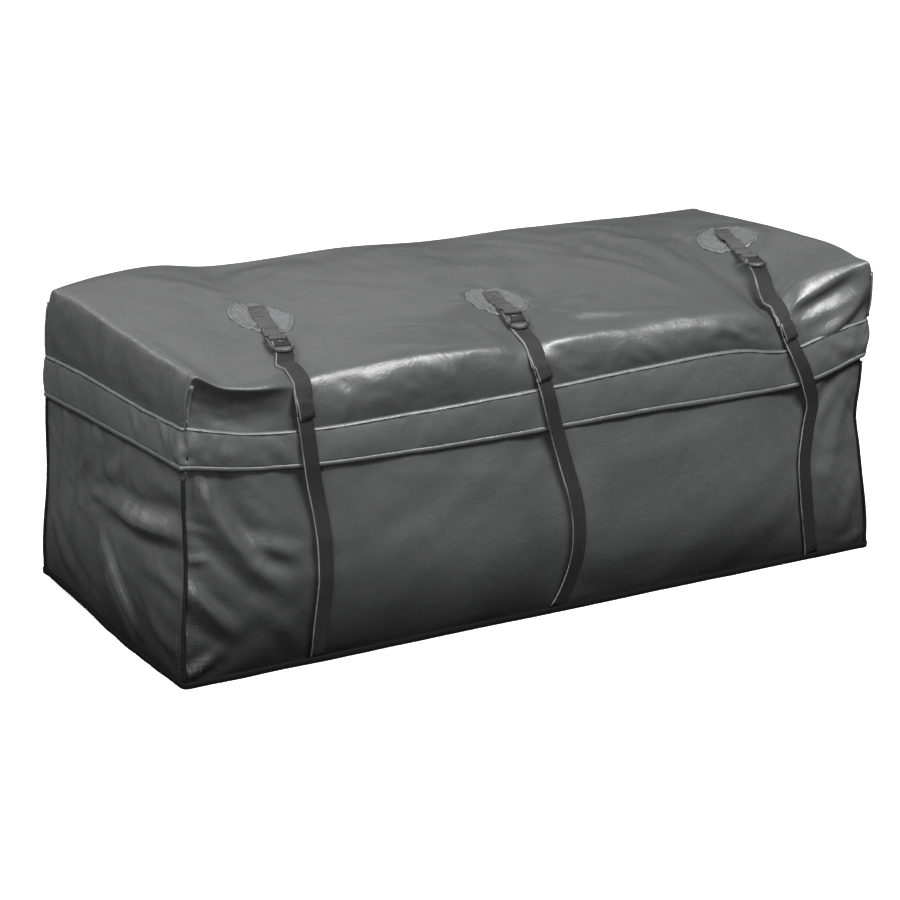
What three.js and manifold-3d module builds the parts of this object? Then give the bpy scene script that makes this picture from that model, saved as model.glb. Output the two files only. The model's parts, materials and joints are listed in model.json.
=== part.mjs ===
// A soft-sided vinyl cargo bag for the tray of a hitch carrier: a tub of flat panels, a hinged lid with a
// storm flap over its zip, and three webbing straps that run up the front and into ladder-lock buckles.
// Millimetres, +Z up, +X along the length, and the straps on the -Y side. The origin is the base's centre.
import * as THREE from "three";
import { mergeVertices } from "three/addons/utils/BufferGeometryUtils.js";
import Module from "manifold-3d";

// Overall size
const LENGTH = 1422;
const DEPTH = 559;
const FABRIC = 2.5; // a seamed wall of coated fabric, with its lining
const SEAM = 0.8; // the gap left between neighbouring panels
const GAP = 0.4; // the gap left between pieces that lie on each other

// Base: a binding runs round the bottom edge and stands proud of the walls
const BINDING = 5.7;
const BINDING_HEIGHT = 9;
const BASE_X = LENGTH / 2 - 6;
const BASE_Y = DEPTH / 2 - 6;

// Tub walls lean inwards as they rise to the rim, where the zip and the hinge seam are
const RIM_Z = 382;
const END_LEAN = 0.0372;
const FRONT_LEAN = 0.0492;
const BACK_LEAN = 0.0202;

// Lid: a crowned top on skirts
const LID_END_LEAN = 0.131;
const LID_FRONT_Y = -254;
const LID_BACK_Y = 265.5;
const CROWN_Y = 100;
const CROWN_Z = 533;
const FRONT_EDGE_Z = 484;
const BACK_EDGE_Z = 520;
const HINGE_Y = LID_BACK_Y - FABRIC / 2;

// Storm flap, sewn to the lid's skirt and flaring outwards down to its hem
const FLAP_TOP_Z = 420;
const FLAP_HEM_Z = 350;
const FLAP_STAND = 4.2;
const FRONT_FLARE = 0.146;
const END_FLARE = 0.16;
const FLAP_BACK_Y = 235;

// Zip
const TAPE = 0.9;
const TAPE_HEIGHT = 17;
const COIL = 1.4;
const COIL_HEIGHT = 2.5;
const ZIP_SPLIT = 0.6;
const SLIDER_X = 14;

// Webbing and buckles
const WEB_WIDTH = 25;
const WEB = 1.5;
const PATCH_RADIUS = 57;
const PATCH = 2;
const BUCKLE_WIDTH = 34;
const BUCKLE_PLATE = 4;
const BAR_HEIGHT = 9; // the buckle's bars above the lid
const BAR_RADIUS = 2.2;
const EYE_BORE = 3.4; // the webbing's loop round the rear bar
const THREAD_UP = 17; // how far ahead of the rear bar the strap comes up, and where it goes back down
const THREAD_DOWN = 27.75;
const LEVEL = 62; // how far ahead of the rear bar the strap has come down to the lid
const ANCHOR_BEHIND = 28; // how far the anchor webbing runs past the patch's middle
const LIFT = 1.2; // webbing laid at a slant clears the crown by this much more
const HEIGHT_SPAN = 200; // enough height to hold any strap's end

// Each strap: the middle of its patch, how far down the strap its buckle is, where it crosses the lid's edge,
// and its foot
const STRAPS = [
  { patch: [-443, -47], buckleReach: 112, edgeX: -485, baseX: -462 },
  { patch: [-10, -100], buckleReach: 84, edgeX: -35, baseX: 9 },
  { patch: [573, 18], buckleReach: 125, edgeX: 505, baseX: 573 },
];

const wasm = await Module();
wasm.setup();

const root = new THREE.Group();

function material(color, roughness, metalness = 0) {
  return new THREE.MeshStandardMaterial({ color, roughness, metalness });
}
const vinyl = material(0x3a3b3d, 0.45);
const trim = material(0x232425, 0.55);
const webbing = material(0x1b1c1d, 0.8);
const plastic = material(0x2a2b2c, 0.35);
const metal = material(0x6a6c70, 0.35, 0.9);

function add(name, geometry, finish, parent = root) {
  const mesh = new THREE.Mesh(geometry, finish);
  mesh.name = name;
  parent.add(mesh);
  return mesh;
}

// ---- booleans ----

function toSolid(geometry) {
  const bare = geometry.clone();
  bare.deleteAttribute("normal");
  bare.deleteAttribute("uv");
  const merged = mergeVertices(bare, 1e-4);
  return new wasm.Manifold(
    new wasm.Mesh({
      numProp: 3,
      vertProperties: merged.attributes.position.array,
      triVerts: new Uint32Array(merged.index.array),
    }),
  );
}

function toGeometry(solid) {
  const mesh = solid.getMesh();
  const geometry = new THREE.BufferGeometry();
  geometry.setAttribute("position", new THREE.BufferAttribute(mesh.vertProperties, 3));
  geometry.setIndex(new THREE.BufferAttribute(mesh.triVerts, 1));
  geometry.computeVertexNormals();
  return geometry;
}

function join(...geometries) {
  return toGeometry(geometries.map(toSolid).reduce((a, b) => a.add(b)));
}

function common(a, b) {
  return toGeometry(toSolid(a).intersect(toSolid(b)));
}

// ---- shapes ----

// A flat panel from the corners of its outer face, anticlockwise seen from outside, thickened inwards.
function slab(corners, thickness) {
  const points = corners.map((c) => new THREE.Vector3(...c));
  const u = points[1].clone().sub(points[0]).normalize();
  const n = u.clone().cross(points.at(-1).clone().sub(points[0])).normalize();
  const v = n.clone().cross(u);
  const outline = points.map((p) => {
    const d = p.clone().sub(points[0]);
    return new THREE.Vector2(d.dot(u), d.dot(v));
  });
  const shape = new THREE.Shape(outline);
  const geometry = new THREE.ExtrudeGeometry(shape, { depth: thickness, bevelEnabled: false });
  const place = new THREE.Matrix4().makeBasis(u, v, n);
  place.setPosition(points[0].clone().addScaledVector(n, -thickness));
  return geometry.applyMatrix4(place);
}

// A side-view outline of [y, z] points, extruded along X between two planes.
function alongX(shape, x0, x1) {
  const geometry = new THREE.ExtrudeGeometry(shape, { depth: x1 - x0, bevelEnabled: false, curveSegments: 6 });
  const place = new THREE.Matrix4().makeBasis(
    new THREE.Vector3(0, 1, 0),
    new THREE.Vector3(0, 0, 1),
    new THREE.Vector3(1, 0, 0),
  );
  place.setPosition(x0, 0, 0);
  return geometry.applyMatrix4(place);
}

// The outline of a band of even thickness whose middle runs along a list of [y, z] points.
function band(path, thickness) {
  const points = path.map((p) => new THREE.Vector2(...p));
  const side = (sign) =>
    points.map((p, i) => {
      const before = points[Math.max(i - 1, 0)];
      const after = points[Math.min(i + 1, points.length - 1)];
      const inward = p.clone().sub(before).normalize();
      const outward = after.clone().sub(p).normalize();
      const along = inward.add(outward).normalize();
      const leg = i === 0 || i === points.length - 1 ? along : after.clone().sub(p).normalize();
      const reach = thickness / 2 / Math.max(along.dot(leg), 0.6);
      return new THREE.Vector2(p.x - along.y * reach * sign, p.y + along.x * reach * sign);
    });
  return new THREE.Shape([...side(1), ...side(-1).reverse()]);
}

function shiftX(geometry, offset) {
  const position = geometry.attributes.position;
  for (let i = 0; i < position.count; i++) {
    position.setX(i, position.getX(i) + offset(position.getY(i), position.getZ(i)));
  }
  geometry.computeVertexNormals();
  return geometry;
}

function rod(from, to, radius, sides = 10) {
  const a = new THREE.Vector3(...from);
  const b = new THREE.Vector3(...to);
  const along = b.clone().sub(a);
  const geometry = new THREE.CylinderGeometry(radius, radius, along.length(), sides);
  const turn = new THREE.Quaternion().setFromUnitVectors(new THREE.Vector3(0, 1, 0), along.clone().normalize());
  geometry.applyQuaternion(turn);
  const middle = a.add(b).multiplyScalar(0.5);
  return geometry.translate(middle.x, middle.y, middle.z);
}

// ---- the walls' outer faces ----

const endX = (z) => BASE_X - z * END_LEAN;
const frontY = (z) => -BASE_Y + z * FRONT_LEAN;
const backY = (z) => BASE_Y - z * BACK_LEAN;
const lidEndX = (z) => endX(RIM_Z) - (z - RIM_Z) * LID_END_LEAN;

// The crowned top of the lid, seen from the end.
function topZ(y) {
  const edgeY = y < CROWN_Y ? LID_FRONT_Y : LID_BACK_Y;
  const edgeZ = y < CROWN_Y ? FRONT_EDGE_Z : BACK_EDGE_Z;
  return CROWN_Z - (CROWN_Z - edgeZ) * ((CROWN_Y - y) / (CROWN_Y - edgeY)) ** 2;
}

// Points along the lid's top at a height above it, from y0 to y1.
function overLid(y0, y1, height, step = 25) {
  const count = Math.max(1, Math.ceil(Math.abs(y1 - y0) / step));
  return Array.from({ length: count + 1 }, (_, i) => {
    const y = y0 + ((y1 - y0) * i) / count;
    return [y, topZ(y) + height];
  });
}

// ---- tub ----

function addTub() {
  const low = FABRIC + 0.6;
  const high = RIM_Z - 4;
  const base = slab(
    [
      [-BASE_X + 0.5, BASE_Y - 0.5, 0],
      [BASE_X - 0.5, BASE_Y - 0.5, 0],
      [BASE_X - 0.5, -BASE_Y + 0.5, 0],
      [-BASE_X + 0.5, -BASE_Y + 0.5, 0],
    ],
    FABRIC,
  );
  add("bottom_panel", base, vinyl);
  const front = slab(
    [
      [-endX(low), frontY(low), low],
      [endX(low), frontY(low), low],
      [endX(high), frontY(high), high],
      [-endX(high), frontY(high), high],
    ],
    FABRIC,
  );
  add("front_panel", front, vinyl);
  const backTop = RIM_Z - 3;
  const back = slab(
    [
      [endX(low), backY(low), low],
      [-endX(low), backY(low), low],
      [-endX(backTop), backY(backTop), backTop],
      [endX(backTop), backY(backTop), backTop],
    ],
    FABRIC,
  );
  add("back_panel", back, vinyl);
  const inset = FABRIC + SEAM;
  for (const [side, s] of [["left", -1], ["right", 1]]) {
    const corners = [
      [s * endX(low), frontY(low) + inset, low],
      [s * endX(low), backY(low) - inset, low],
      [s * endX(high), backY(high) - inset, high],
      [s * endX(high), frontY(high) + inset, high],
    ];
    add(`${side}_end_panel`, slab(s > 0 ? corners : corners.reverse(), FABRIC), vinyl);
  }
}

function addBindings() {
  const across = 2 * BASE_Y;
  for (const [name, y] of [["front", -1], ["back", 1]]) {
    const strip = new THREE.BoxGeometry(LENGTH, BINDING, BINDING_HEIGHT);
    strip.translate(0, (y * (DEPTH - BINDING)) / 2, BINDING_HEIGHT / 2);
    add(`base_binding_${name}`, strip, trim);
  }
  for (const [name, x] of [["left", -1], ["right", 1]]) {
    const strip = new THREE.BoxGeometry(BINDING, across, BINDING_HEIGHT);
    strip.translate((x * (LENGTH - BINDING)) / 2, 0, BINDING_HEIGHT / 2);
    add(`base_binding_${name}`, strip, trim);
  }
}

// Piped seams stand just outside the four corners, on the tub and on the lid.
function addCornerSeams() {
  const low = BINDING_HEIGHT + 0.6;
  const high = FLAP_HEM_Z - 4;
  const lidLow = { front: FLAP_TOP_Z + 4, back: RIM_Z + 16 };
  const lidHigh = { front: FRONT_EDGE_Z - 4, back: BACK_EDGE_Z - 4 };
  for (const [end, s] of [["left", -1], ["right", 1]]) {
    for (const [side, t] of [["front", -1], ["back", 1]]) {
      const wallY = side === "front" ? frontY : backY;
      const at = (z) => [s * (endX(z) + 2.05), wallY(z) + t * 2.05, z];
      add(`corner_seam_${side}_${end}`, rod(at(low), at(high), 2.4, 8), trim);
      const lidY = side === "front" ? LID_FRONT_Y : LID_BACK_Y;
      const lidAt = (z) => [s * (lidEndX(z) + 1.75), lidY + t * 1.75, z];
      add(`lid_seam_${side}_${end}`, rod(lidAt(lidLow[side]), lidAt(lidHigh[side]), 2, 8), trim);
    }
  }
}

// ---- lid ----

function addLid() {
  const topX = lidEndX((FRONT_EDGE_Z + CROWN_Z) / 2);
  const outer = overLid(LID_FRONT_Y, LID_BACK_Y, 0);
  const inner = overLid(LID_BACK_Y, LID_FRONT_Y, -FABRIC);
  const crown = new THREE.Shape([...outer, ...inner].map((p) => new THREE.Vector2(...p)));
  add("lid_top", alongX(crown, -topX, topX), vinyl);

  const skirtLow = RIM_Z + 2;
  const frontHigh = FRONT_EDGE_Z - FABRIC - SEAM;
  const front = slab(
    [
      [-lidEndX(skirtLow), LID_FRONT_Y, skirtLow],
      [lidEndX(skirtLow), LID_FRONT_Y, skirtLow],
      [lidEndX(frontHigh), LID_FRONT_Y, frontHigh],
      [-lidEndX(frontHigh), LID_FRONT_Y, frontHigh],
    ],
    FABRIC,
  );
  add("lid_front_skirt", front, vinyl);
  const backLow = RIM_Z + 3;
  const backHigh = BACK_EDGE_Z - FABRIC - SEAM;
  const back = slab(
    [
      [lidEndX(backLow), LID_BACK_Y, backLow],
      [-lidEndX(backLow), LID_BACK_Y, backLow],
      [-lidEndX(backHigh), LID_BACK_Y, backHigh],
      [lidEndX(backHigh), LID_BACK_Y, backHigh],
    ],
    FABRIC,
  );
  add("lid_back_skirt", back, vinyl);

  const inset = FABRIC + SEAM;
  const ridge = overLid(LID_BACK_Y - inset, LID_FRONT_Y + inset, -FABRIC - SEAM);
  for (const [side, s] of [["left", -1], ["right", 1]]) {
    const corners = [
      [s * lidEndX(skirtLow), LID_FRONT_Y + inset, skirtLow],
      [s * lidEndX(skirtLow), LID_BACK_Y - inset, skirtLow],
      ...ridge.map(([y, z]) => [s * lidEndX(z), y, z]),
    ];
    add(`lid_${side}_skirt`, slab(s > 0 ? corners : corners.reverse(), FABRIC), vinyl);
  }
  const welt = endX(RIM_Z) - 3;
  add("hinge_welt", rod([-welt, HINGE_Y, RIM_Z], [welt, HINGE_Y, RIM_Z], 2.4, 12), trim);
}

// Outer faces of the storm flap at a height.
const flapFrontY = (z) => LID_FRONT_Y - FLAP_STAND - FABRIC - (FLAP_TOP_Z - z) * FRONT_FLARE;
const flapEndX = (z) => lidEndX(FLAP_TOP_Z) + FLAP_STAND + FABRIC + (FLAP_TOP_Z - z) * END_FLARE;

function addStormFlap() {
  const levels = [FLAP_HEM_Z, FLAP_TOP_Z];
  const [hem, top] = levels;
  const front = slab(
    [
      [-flapEndX(hem), flapFrontY(hem), hem],
      [flapEndX(hem), flapFrontY(hem), hem],
      [flapEndX(top), flapFrontY(top), top],
      [-flapEndX(top), flapFrontY(top), top],
    ],
    FABRIC,
  );
  add("storm_flap_front", front, vinyl);
  for (const [side, s] of [["left", -1], ["right", 1]]) {
    const corners = [
      [s * flapEndX(hem), flapFrontY(hem) + FABRIC + SEAM, hem],
      [s * flapEndX(hem), FLAP_BACK_Y, hem],
      [s * flapEndX(top), FLAP_BACK_Y, top],
      [s * flapEndX(top), flapFrontY(top) + FABRIC + SEAM, top],
    ];
    add(`storm_flap_${side}`, slab(s > 0 ? corners : corners.reverse(), FABRIC), vinyl);
  }
}

// ---- zip ----

// A strip on edge that runs along the left end, the front and the right end, at a distance outside the tub.
function zipRun(offset, thickness, low, high) {
  const x = endX(RIM_Z - TAPE_HEIGHT) + GAP + offset;
  const y = -frontY(RIM_Z - TAPE_HEIGHT) + GAP + offset;
  const run = (out) => [
    [-x - out, FLAP_BACK_Y],
    [-x - out, -y - out],
    [x + out, -y - out],
    [x + out, FLAP_BACK_Y],
  ];
  const outline = [...run(thickness), ...run(0).reverse()].map((p) => new THREE.Vector2(...p));
  const strip = new THREE.ExtrudeGeometry(new THREE.Shape(outline), { depth: high - low, bevelEnabled: false });
  return strip.translate(0, 0, low);
}

const coilFaceY = frontY(RIM_Z - TAPE_HEIGHT) - GAP - TAPE - 0.3 - COIL;

function addZip() {
  const under = RIM_Z - ZIP_SPLIT / 2;
  const over = RIM_Z + ZIP_SPLIT / 2;
  const coilOffset = TAPE + 0.3;
  add("zip_tape_lower", zipRun(0, TAPE, RIM_Z - TAPE_HEIGHT, under), trim);
  add("zip_tape_upper", zipRun(0, TAPE, over, RIM_Z + TAPE_HEIGHT), trim);
  add("zip_coil_lower", zipRun(coilOffset, COIL, under - COIL_HEIGHT, under), plastic);
  add("zip_coil_upper", zipRun(coilOffset, COIL, over, over + COIL_HEIGHT), plastic);
  for (const [side, s] of [["left", -1], ["right", 1]]) {
    addSlider(side, s * SLIDER_X);
  }
}

// A slider with the post that its pull swings on.
function addSlider(side, x) {
  const bodyDepth = 2.5;
  const pullDepth = 1.2;
  const face = coilFaceY - 0.3;
  const outline = new THREE.Shape();
  outline.moveTo(-7, -4.2);
  outline.lineTo(4.5, -5.6);
  outline.quadraticCurveTo(8.5, 0, 4.5, 5.6);
  outline.lineTo(-7, 4.2);
  const standing = new THREE.Matrix4().makeBasis(
    new THREE.Vector3(1, 0, 0),
    new THREE.Vector3(0, 0, 1),
    new THREE.Vector3(0, -1, 0),
  );
  const body = new THREE.ExtrudeGeometry(outline, { depth: bodyDepth, bevelEnabled: false, curveSegments: 5 });
  body.applyMatrix4(standing.clone().setPosition(x, face, RIM_Z));
  const pullFace = face - bodyDepth - 0.3;
  const post = rod([x, face - 1, RIM_Z], [x, pullFace - pullDepth, RIM_Z], 1.2, 8);
  add(`zip_slider_${side}`, join(body, post), metal);

  const pull = new THREE.Shape();
  pull.moveTo(-2.6, 0);
  pull.absarc(0, 0, 2.8, Math.PI, 0, true);
  pull.lineTo(3.6, -17);
  pull.absarc(0, -17, 3.6, 0, Math.PI, true);
  pull.closePath();
  const eye = new THREE.Path();
  eye.absarc(0, 0, 1.6, 0, 2 * Math.PI, false);
  pull.holes.push(eye);
  const tab = new THREE.ExtrudeGeometry(pull, { depth: pullDepth, bevelEnabled: false, curveSegments: 6 });
  tab.applyMatrix4(standing.clone().setPosition(x, pullFace, RIM_Z));
  add(`zip_pull_${side}`, tab, metal);
}

// ---- straps ----

// The distances of the buckle's slots ahead of its rear bar.
const SLOTS = [
  [BAR_RADIUS, 10],
  [14, 20],
  [24.5, 31],
];
const BUCKLE_FRONT = 50;
const BUCKLE_REACH = 22; // from the middle of the buckle back to its rear bar

// A flat ladder-lock in its own frame: the rear bar along X, the thumb tab towards -Y.
function ladderLock() {
  const half = BUCKLE_WIDTH / 2;
  const shoulder = SLOTS.at(-1)[1] + 4;
  const plate = new THREE.Shape();
  plate.moveTo(-half, BAR_RADIUS);
  plate.lineTo(-half, -shoulder);
  plate.quadraticCurveTo(-half + 3, -BUCKLE_FRONT, 0, -BUCKLE_FRONT);
  plate.quadraticCurveTo(half - 3, -BUCKLE_FRONT, half, -shoulder);
  plate.lineTo(half, BAR_RADIUS);
  plate.closePath();
  const slotHalf = WEB_WIDTH / 2 + 1;
  for (const [from, to] of SLOTS) {
    const slot = new THREE.Path();
    slot.moveTo(-slotHalf, -from);
    slot.lineTo(-slotHalf, -to);
    slot.lineTo(slotHalf, -to);
    slot.lineTo(slotHalf, -from);
    slot.closePath();
    plate.holes.push(slot);
  }
  const flat = new THREE.ExtrudeGeometry(plate, { depth: BUCKLE_PLATE, bevelEnabled: false, curveSegments: 8 });
  return flat.translate(0, 0, -BUCKLE_PLATE / 2);
}

// A round patch that follows the lid's curve.
function addPatch(number, [x, y]) {
  const reach = PATCH_RADIUS + 5;
  const sheet = [
    ...overLid(y - reach, y + reach, GAP),
    ...overLid(y + reach, y - reach, GAP + PATCH),
  ].map((p) => new THREE.Vector2(...p));
  const curved = alongX(new THREE.Shape(sheet), x - reach, x + reach);
  const disc = new THREE.CylinderGeometry(PATCH_RADIUS, PATCH_RADIUS, 200, 32).rotateX(Math.PI / 2);
  add(`patch_${number}`, common(disc.translate(x, y, CROWN_Z), curved), vinyl);
}

// What lies along the strap on the lid sits in a group of its own, with -Y down the strap and its origin above
// the patch's middle.
function addStrap(number, { patch, buckleReach, edgeX, baseX }) {
  const [patchX, patchY] = patch;
  addPatch(number, patch);
  const turn = -Math.atan((edgeX - patchX) / (LID_FRONT_Y - patchY));
  const lay = new THREE.Group();
  lay.position.set(patchX, patchY, 0);
  lay.rotation.z = turn;
  root.add(lay);

  const worldY = (s) => patchY + s * Math.cos(turn);
  const heightAt = (s) => topZ(worldY(s)) + LIFT;
  const along = (s0, s1, height, step = 25) => {
    const count = Math.max(1, Math.ceil(Math.abs(s1 - s0) / step));
    return Array.from({ length: count + 1 }, (_, i) => {
      const s = s0 + ((s1 - s0) * i) / count;
      return [s, heightAt(s) + height];
    });
  };
  const half = WEB_WIDTH / 2;
  const bar = BUCKLE_REACH - buckleReach;
  const barZ = heightAt(bar) + BAR_HEIGHT;

  // Short anchor webbing, sewn to the patch and looped round the buckle's rear bar
  const bed = GAP + PATCH + GAP + WEB / 2;
  const loop = EYE_BORE + WEB / 2;
  const tether = [...along(ANCHOR_BEHIND, bar + 12, bed), [bar + 4, barZ - loop + 0.4], [bar, barZ - loop]];
  const eye = new THREE.Shape();
  eye.absarc(bar, barZ, EYE_BORE + WEB, 0, 2 * Math.PI, false);
  const bore = new THREE.Path();
  bore.absarc(bar, barZ, EYE_BORE, 0, 2 * Math.PI, true);
  eye.holes.push(bore);
  const anchor = join(alongX(band(tether, WEB), -half, half), alongX(eye, -half, half));
  add(`anchor_webbing_${number}`, anchor, webbing, lay);

  // Buckle, lying along the lid
  const buckle = add(`buckle_${number}`, ladderLock(), plastic, lay);
  const front = bar - BUCKLE_FRONT;
  buckle.rotation.x = Math.atan((heightAt(bar) - heightAt(front)) / BUCKLE_FRONT);
  buckle.position.set(0, bar, barZ);

  // The strap's end: up from the lid's edge, under the buckle, over its middle bar and back over itself
  const layer = WEB + GAP;
  const under = BAR_HEIGHT - BUCKLE_PLATE / 2 - GAP - layer - WEB / 2;
  const resting = GAP + WEB / 2;
  const ahead = (p, h) => [bar - p, heightAt(bar - p) + h];
  const edge = (LID_FRONT_Y - patchY) / Math.cos(turn) - 8;
  const rest = Math.min(bar - 78, -PATCH_RADIUS - 8);
  const threaded = [
    ...along(edge, rest, resting),
    ...along(bar - LEVEL, bar - THREAD_UP - 7, under, 19),
    ahead(THREAD_UP + 1.2, under + 0.8),
    ahead(THREAD_UP, under + 2.4),
    ahead(THREAD_UP, BAR_HEIGHT + 2),
    ahead(THREAD_UP + 1.4, BAR_HEIGHT + 3.3),
    ahead(THREAD_DOWN - 1.55, BAR_HEIGHT + 3.3),
    ahead(THREAD_DOWN, BAR_HEIGHT + 2),
    ahead(THREAD_DOWN, under + layer + 1.5),
    ahead(THREAD_DOWN + 1.45, under + layer),
    ...along(bar - LEVEL + 18, bar - LEVEL, under + layer, 18),
    ...along(rest, edge, resting + layer),
  ];
  const keep = new THREE.BoxGeometry(4 * WEB_WIDTH, DEPTH, HEIGHT_SPAN);
  keep.translate(0, LID_FRONT_Y - 1.5 + DEPTH / 2 - patchY, CROWN_Z);
  keep.rotateZ(-turn);
  const strapEnd = common(alongX(band(threaded, WEB), -half, half), keep);
  add(`strap_end_${number}`, strapEnd, webbing, lay);

  addFrontWebbing(number, (y, z) => edgeX + ((FRONT_EDGE_Z - z) / FRONT_EDGE_Z) * (baseX - edgeX));
}

// The strap is one length of webbing. It is cut at the lid's edge and at the flap's hem, where it folds.
function addFrontWebbing(number, slant) {
  const half = WEB_WIDTH / 2;
  const stand = GAP + WEB / 2;
  const piece = (name, path) => {
    add(`${name}_${number}`, shiftX(alongX(band(path, WEB), -half, half), slant), webbing);
  };
  const overSkirt = (extra) => [
    [LID_FRONT_Y - stand - extra, FRONT_EDGE_Z - 3],
    [LID_FRONT_Y - stand - extra, FLAP_TOP_Z + 12],
    [flapFrontY(FLAP_TOP_Z) - stand - extra, FLAP_TOP_Z + 1],
  ];
  const hemY = flapFrontY(FLAP_HEM_Z) - stand;
  piece("strap_over_flap", [...overSkirt(0), [hemY, FLAP_HEM_Z], [hemY, FLAP_HEM_Z - 5]]);
  const layer = WEB + GAP;
  const tailEnd = FLAP_TOP_Z - 11;
  piece("strap_tail", [...overSkirt(layer), [flapFrontY(tailEnd) - stand - layer, tailEnd]]);
  const foot = BINDING_HEIGHT + 1;
  const footY = frontY(foot) - stand;
  piece("strap_front", [[hemY, FLAP_HEM_Z - 7], [footY, foot + 25], [footY, foot]]);
}

addTub();
addBindings();
addCornerSeams();
addLid();
addStormFlap();
addZip();
STRAPS.forEach((strap, i) => addStrap(i + 1, strap));

export default root;
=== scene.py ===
"""The looks of a vinyl cargo bag for a hitch carrier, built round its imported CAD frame.

Metres, +Z up, +X along the bag, and the straps are on the -Y side. The tub and the lid are lofted shells that
bulge over their load and crease where seams and straps hold them."""

import json
from math import cos, exp, hypot, pi, radians, sin

import bmesh
import bpy
import numpy as np
from mathutils import Matrix, Vector
from mathutils.bvhtree import BVHTree


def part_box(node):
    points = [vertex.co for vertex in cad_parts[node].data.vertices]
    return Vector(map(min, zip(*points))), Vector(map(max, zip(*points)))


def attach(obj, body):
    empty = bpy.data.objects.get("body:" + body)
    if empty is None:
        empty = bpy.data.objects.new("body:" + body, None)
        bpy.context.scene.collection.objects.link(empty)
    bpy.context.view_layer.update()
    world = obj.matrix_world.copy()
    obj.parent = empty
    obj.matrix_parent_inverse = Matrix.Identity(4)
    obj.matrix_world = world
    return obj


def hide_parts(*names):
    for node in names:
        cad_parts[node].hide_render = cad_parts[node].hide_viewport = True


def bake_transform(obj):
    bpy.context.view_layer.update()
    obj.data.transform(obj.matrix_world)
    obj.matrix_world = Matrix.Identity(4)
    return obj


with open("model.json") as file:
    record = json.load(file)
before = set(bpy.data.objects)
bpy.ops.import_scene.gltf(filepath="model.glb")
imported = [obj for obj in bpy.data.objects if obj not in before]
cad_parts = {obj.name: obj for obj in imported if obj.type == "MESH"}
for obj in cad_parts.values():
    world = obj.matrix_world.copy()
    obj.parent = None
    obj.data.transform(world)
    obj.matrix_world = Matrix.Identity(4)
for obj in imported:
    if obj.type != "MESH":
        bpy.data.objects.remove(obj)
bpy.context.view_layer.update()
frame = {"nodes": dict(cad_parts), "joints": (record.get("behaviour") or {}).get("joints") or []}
JOINTS = {j["name"]: j for j in frame["joints"]}
MM = 0.001

# ---- places taken from the frame ----

BASE_LOW, BASE_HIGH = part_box("bottom_panel")
HALF_X, HALF_Y = BASE_HIGH.x, BASE_HIGH.y
HINGE = Vector(JOINTS["lid_hinge"]["pos_m"])
RIM_Z = HINGE.z
LID_LOW, LID_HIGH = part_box("lid_top")
LID_X = LID_HIGH.x + 9 * MM
FLAP_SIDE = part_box("storm_flap_right")[1].x
FRONT_Y = LID_LOW.y
BACK_Y = LID_HIGH.y
FLAP_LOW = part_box("storm_flap_front")[0]
TAPE_LOW, TAPE_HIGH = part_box("zip_tape_lower")
TAPE = 1.2 * MM
RIM_X = TAPE_HIGH.x - TAPE
RIM_FRONT_Y = TAPE_LOW.y + TAPE
RIM_BACK_Y = HINGE.y + 1.5 * MM
STRAPS = (1, 2, 3)
WEB = 30 * MM
STRAP_THICK = 1.6 * MM
X_AXIS = Vector((1, 0, 0))
UP = Vector((0, 0, 1))
ABOVE = 0.8  # a height over the whole bag


def middle(node):
    low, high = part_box(node)
    return (low + high) / 2


FOOT_X = {n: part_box(f"strap_front_{n}")[1].x - WEB / 2 for n in STRAPS}
HEM_X = {n: middle(f"strap_over_flap_{n}").x for n in STRAPS}
PATCH_AT = {n: middle(f"patch_{n}") for n in STRAPS}
BUCKLE_PIVOT = {n: Vector(JOINTS[f"buckle_{n}_tilt"]["pos_m"]) for n in STRAPS}
BUCKLE_AXIS = {n: -Vector(JOINTS[f"buckle_{n}_tilt"]["axis"]) for n in STRAPS}

# ---- small numeric helpers ----


def smooth(x, low, high):
    """0 below low, 1 above high, and an even curve between."""
    t = np.clip((x - low) / (high - low), 0, 1)
    return t * t * (3 - 2 * t)


def bump(x, centre, width):
    return np.exp(-(((x - centre) / width) ** 2))


def through(x, points):
    """A smooth curve through (x, value) points, held level past its ends."""
    xs, ys = np.array(points, float).T
    x = np.clip(x, xs[0], xs[-1])
    i = np.clip(np.searchsorted(xs, x) - 1, 0, len(xs) - 2)
    slopes = np.gradient(ys, xs)
    h = xs[i + 1] - xs[i]
    t = (x - xs[i]) / h
    a = ys[i] * (1 + 2 * t) * (1 - t) ** 2 + ys[i + 1] * t * t * (3 - 2 * t)
    return a + h * (slopes[i] * t * (1 - t) ** 2 + slopes[i + 1] * t * t * (t - 1))


def line_z(x, points):
    """The same for a line given in millimetres."""
    return through(x / MM, points) * MM


def ripple(a, b, wavelength, seed, stretch=1.0, turn=0.0):
    """Smooth irregular waves over a plane, about -1 to 1: a sum of plane waves bent by slower ones."""
    rng = np.random.default_rng(seed)
    c, s = cos(turn), sin(turn)
    u, v = (a * c + b * s) / stretch, b * c - a * s
    k = 2 * pi / wavelength
    for _ in range(2):
        p, q, r, w = rng.uniform(0, 2 * pi, 4)
        u = u + 0.25 * wavelength * np.sin(0.45 * k * (v * cos(w) + u * sin(w)) + p)
        v = v + 0.25 * wavelength * np.sin(0.45 * k * (u * cos(w) - v * sin(w)) + q + r)
    total = 0
    for _ in range(5):
        heading, phase = rng.uniform(0, 2 * pi, 2)
        scale = k * rng.uniform(0.7, 1.4)
        total = total + np.sin(scale * (u * cos(heading) + v * sin(heading)) + phase)
    return total / 2.6


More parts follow.
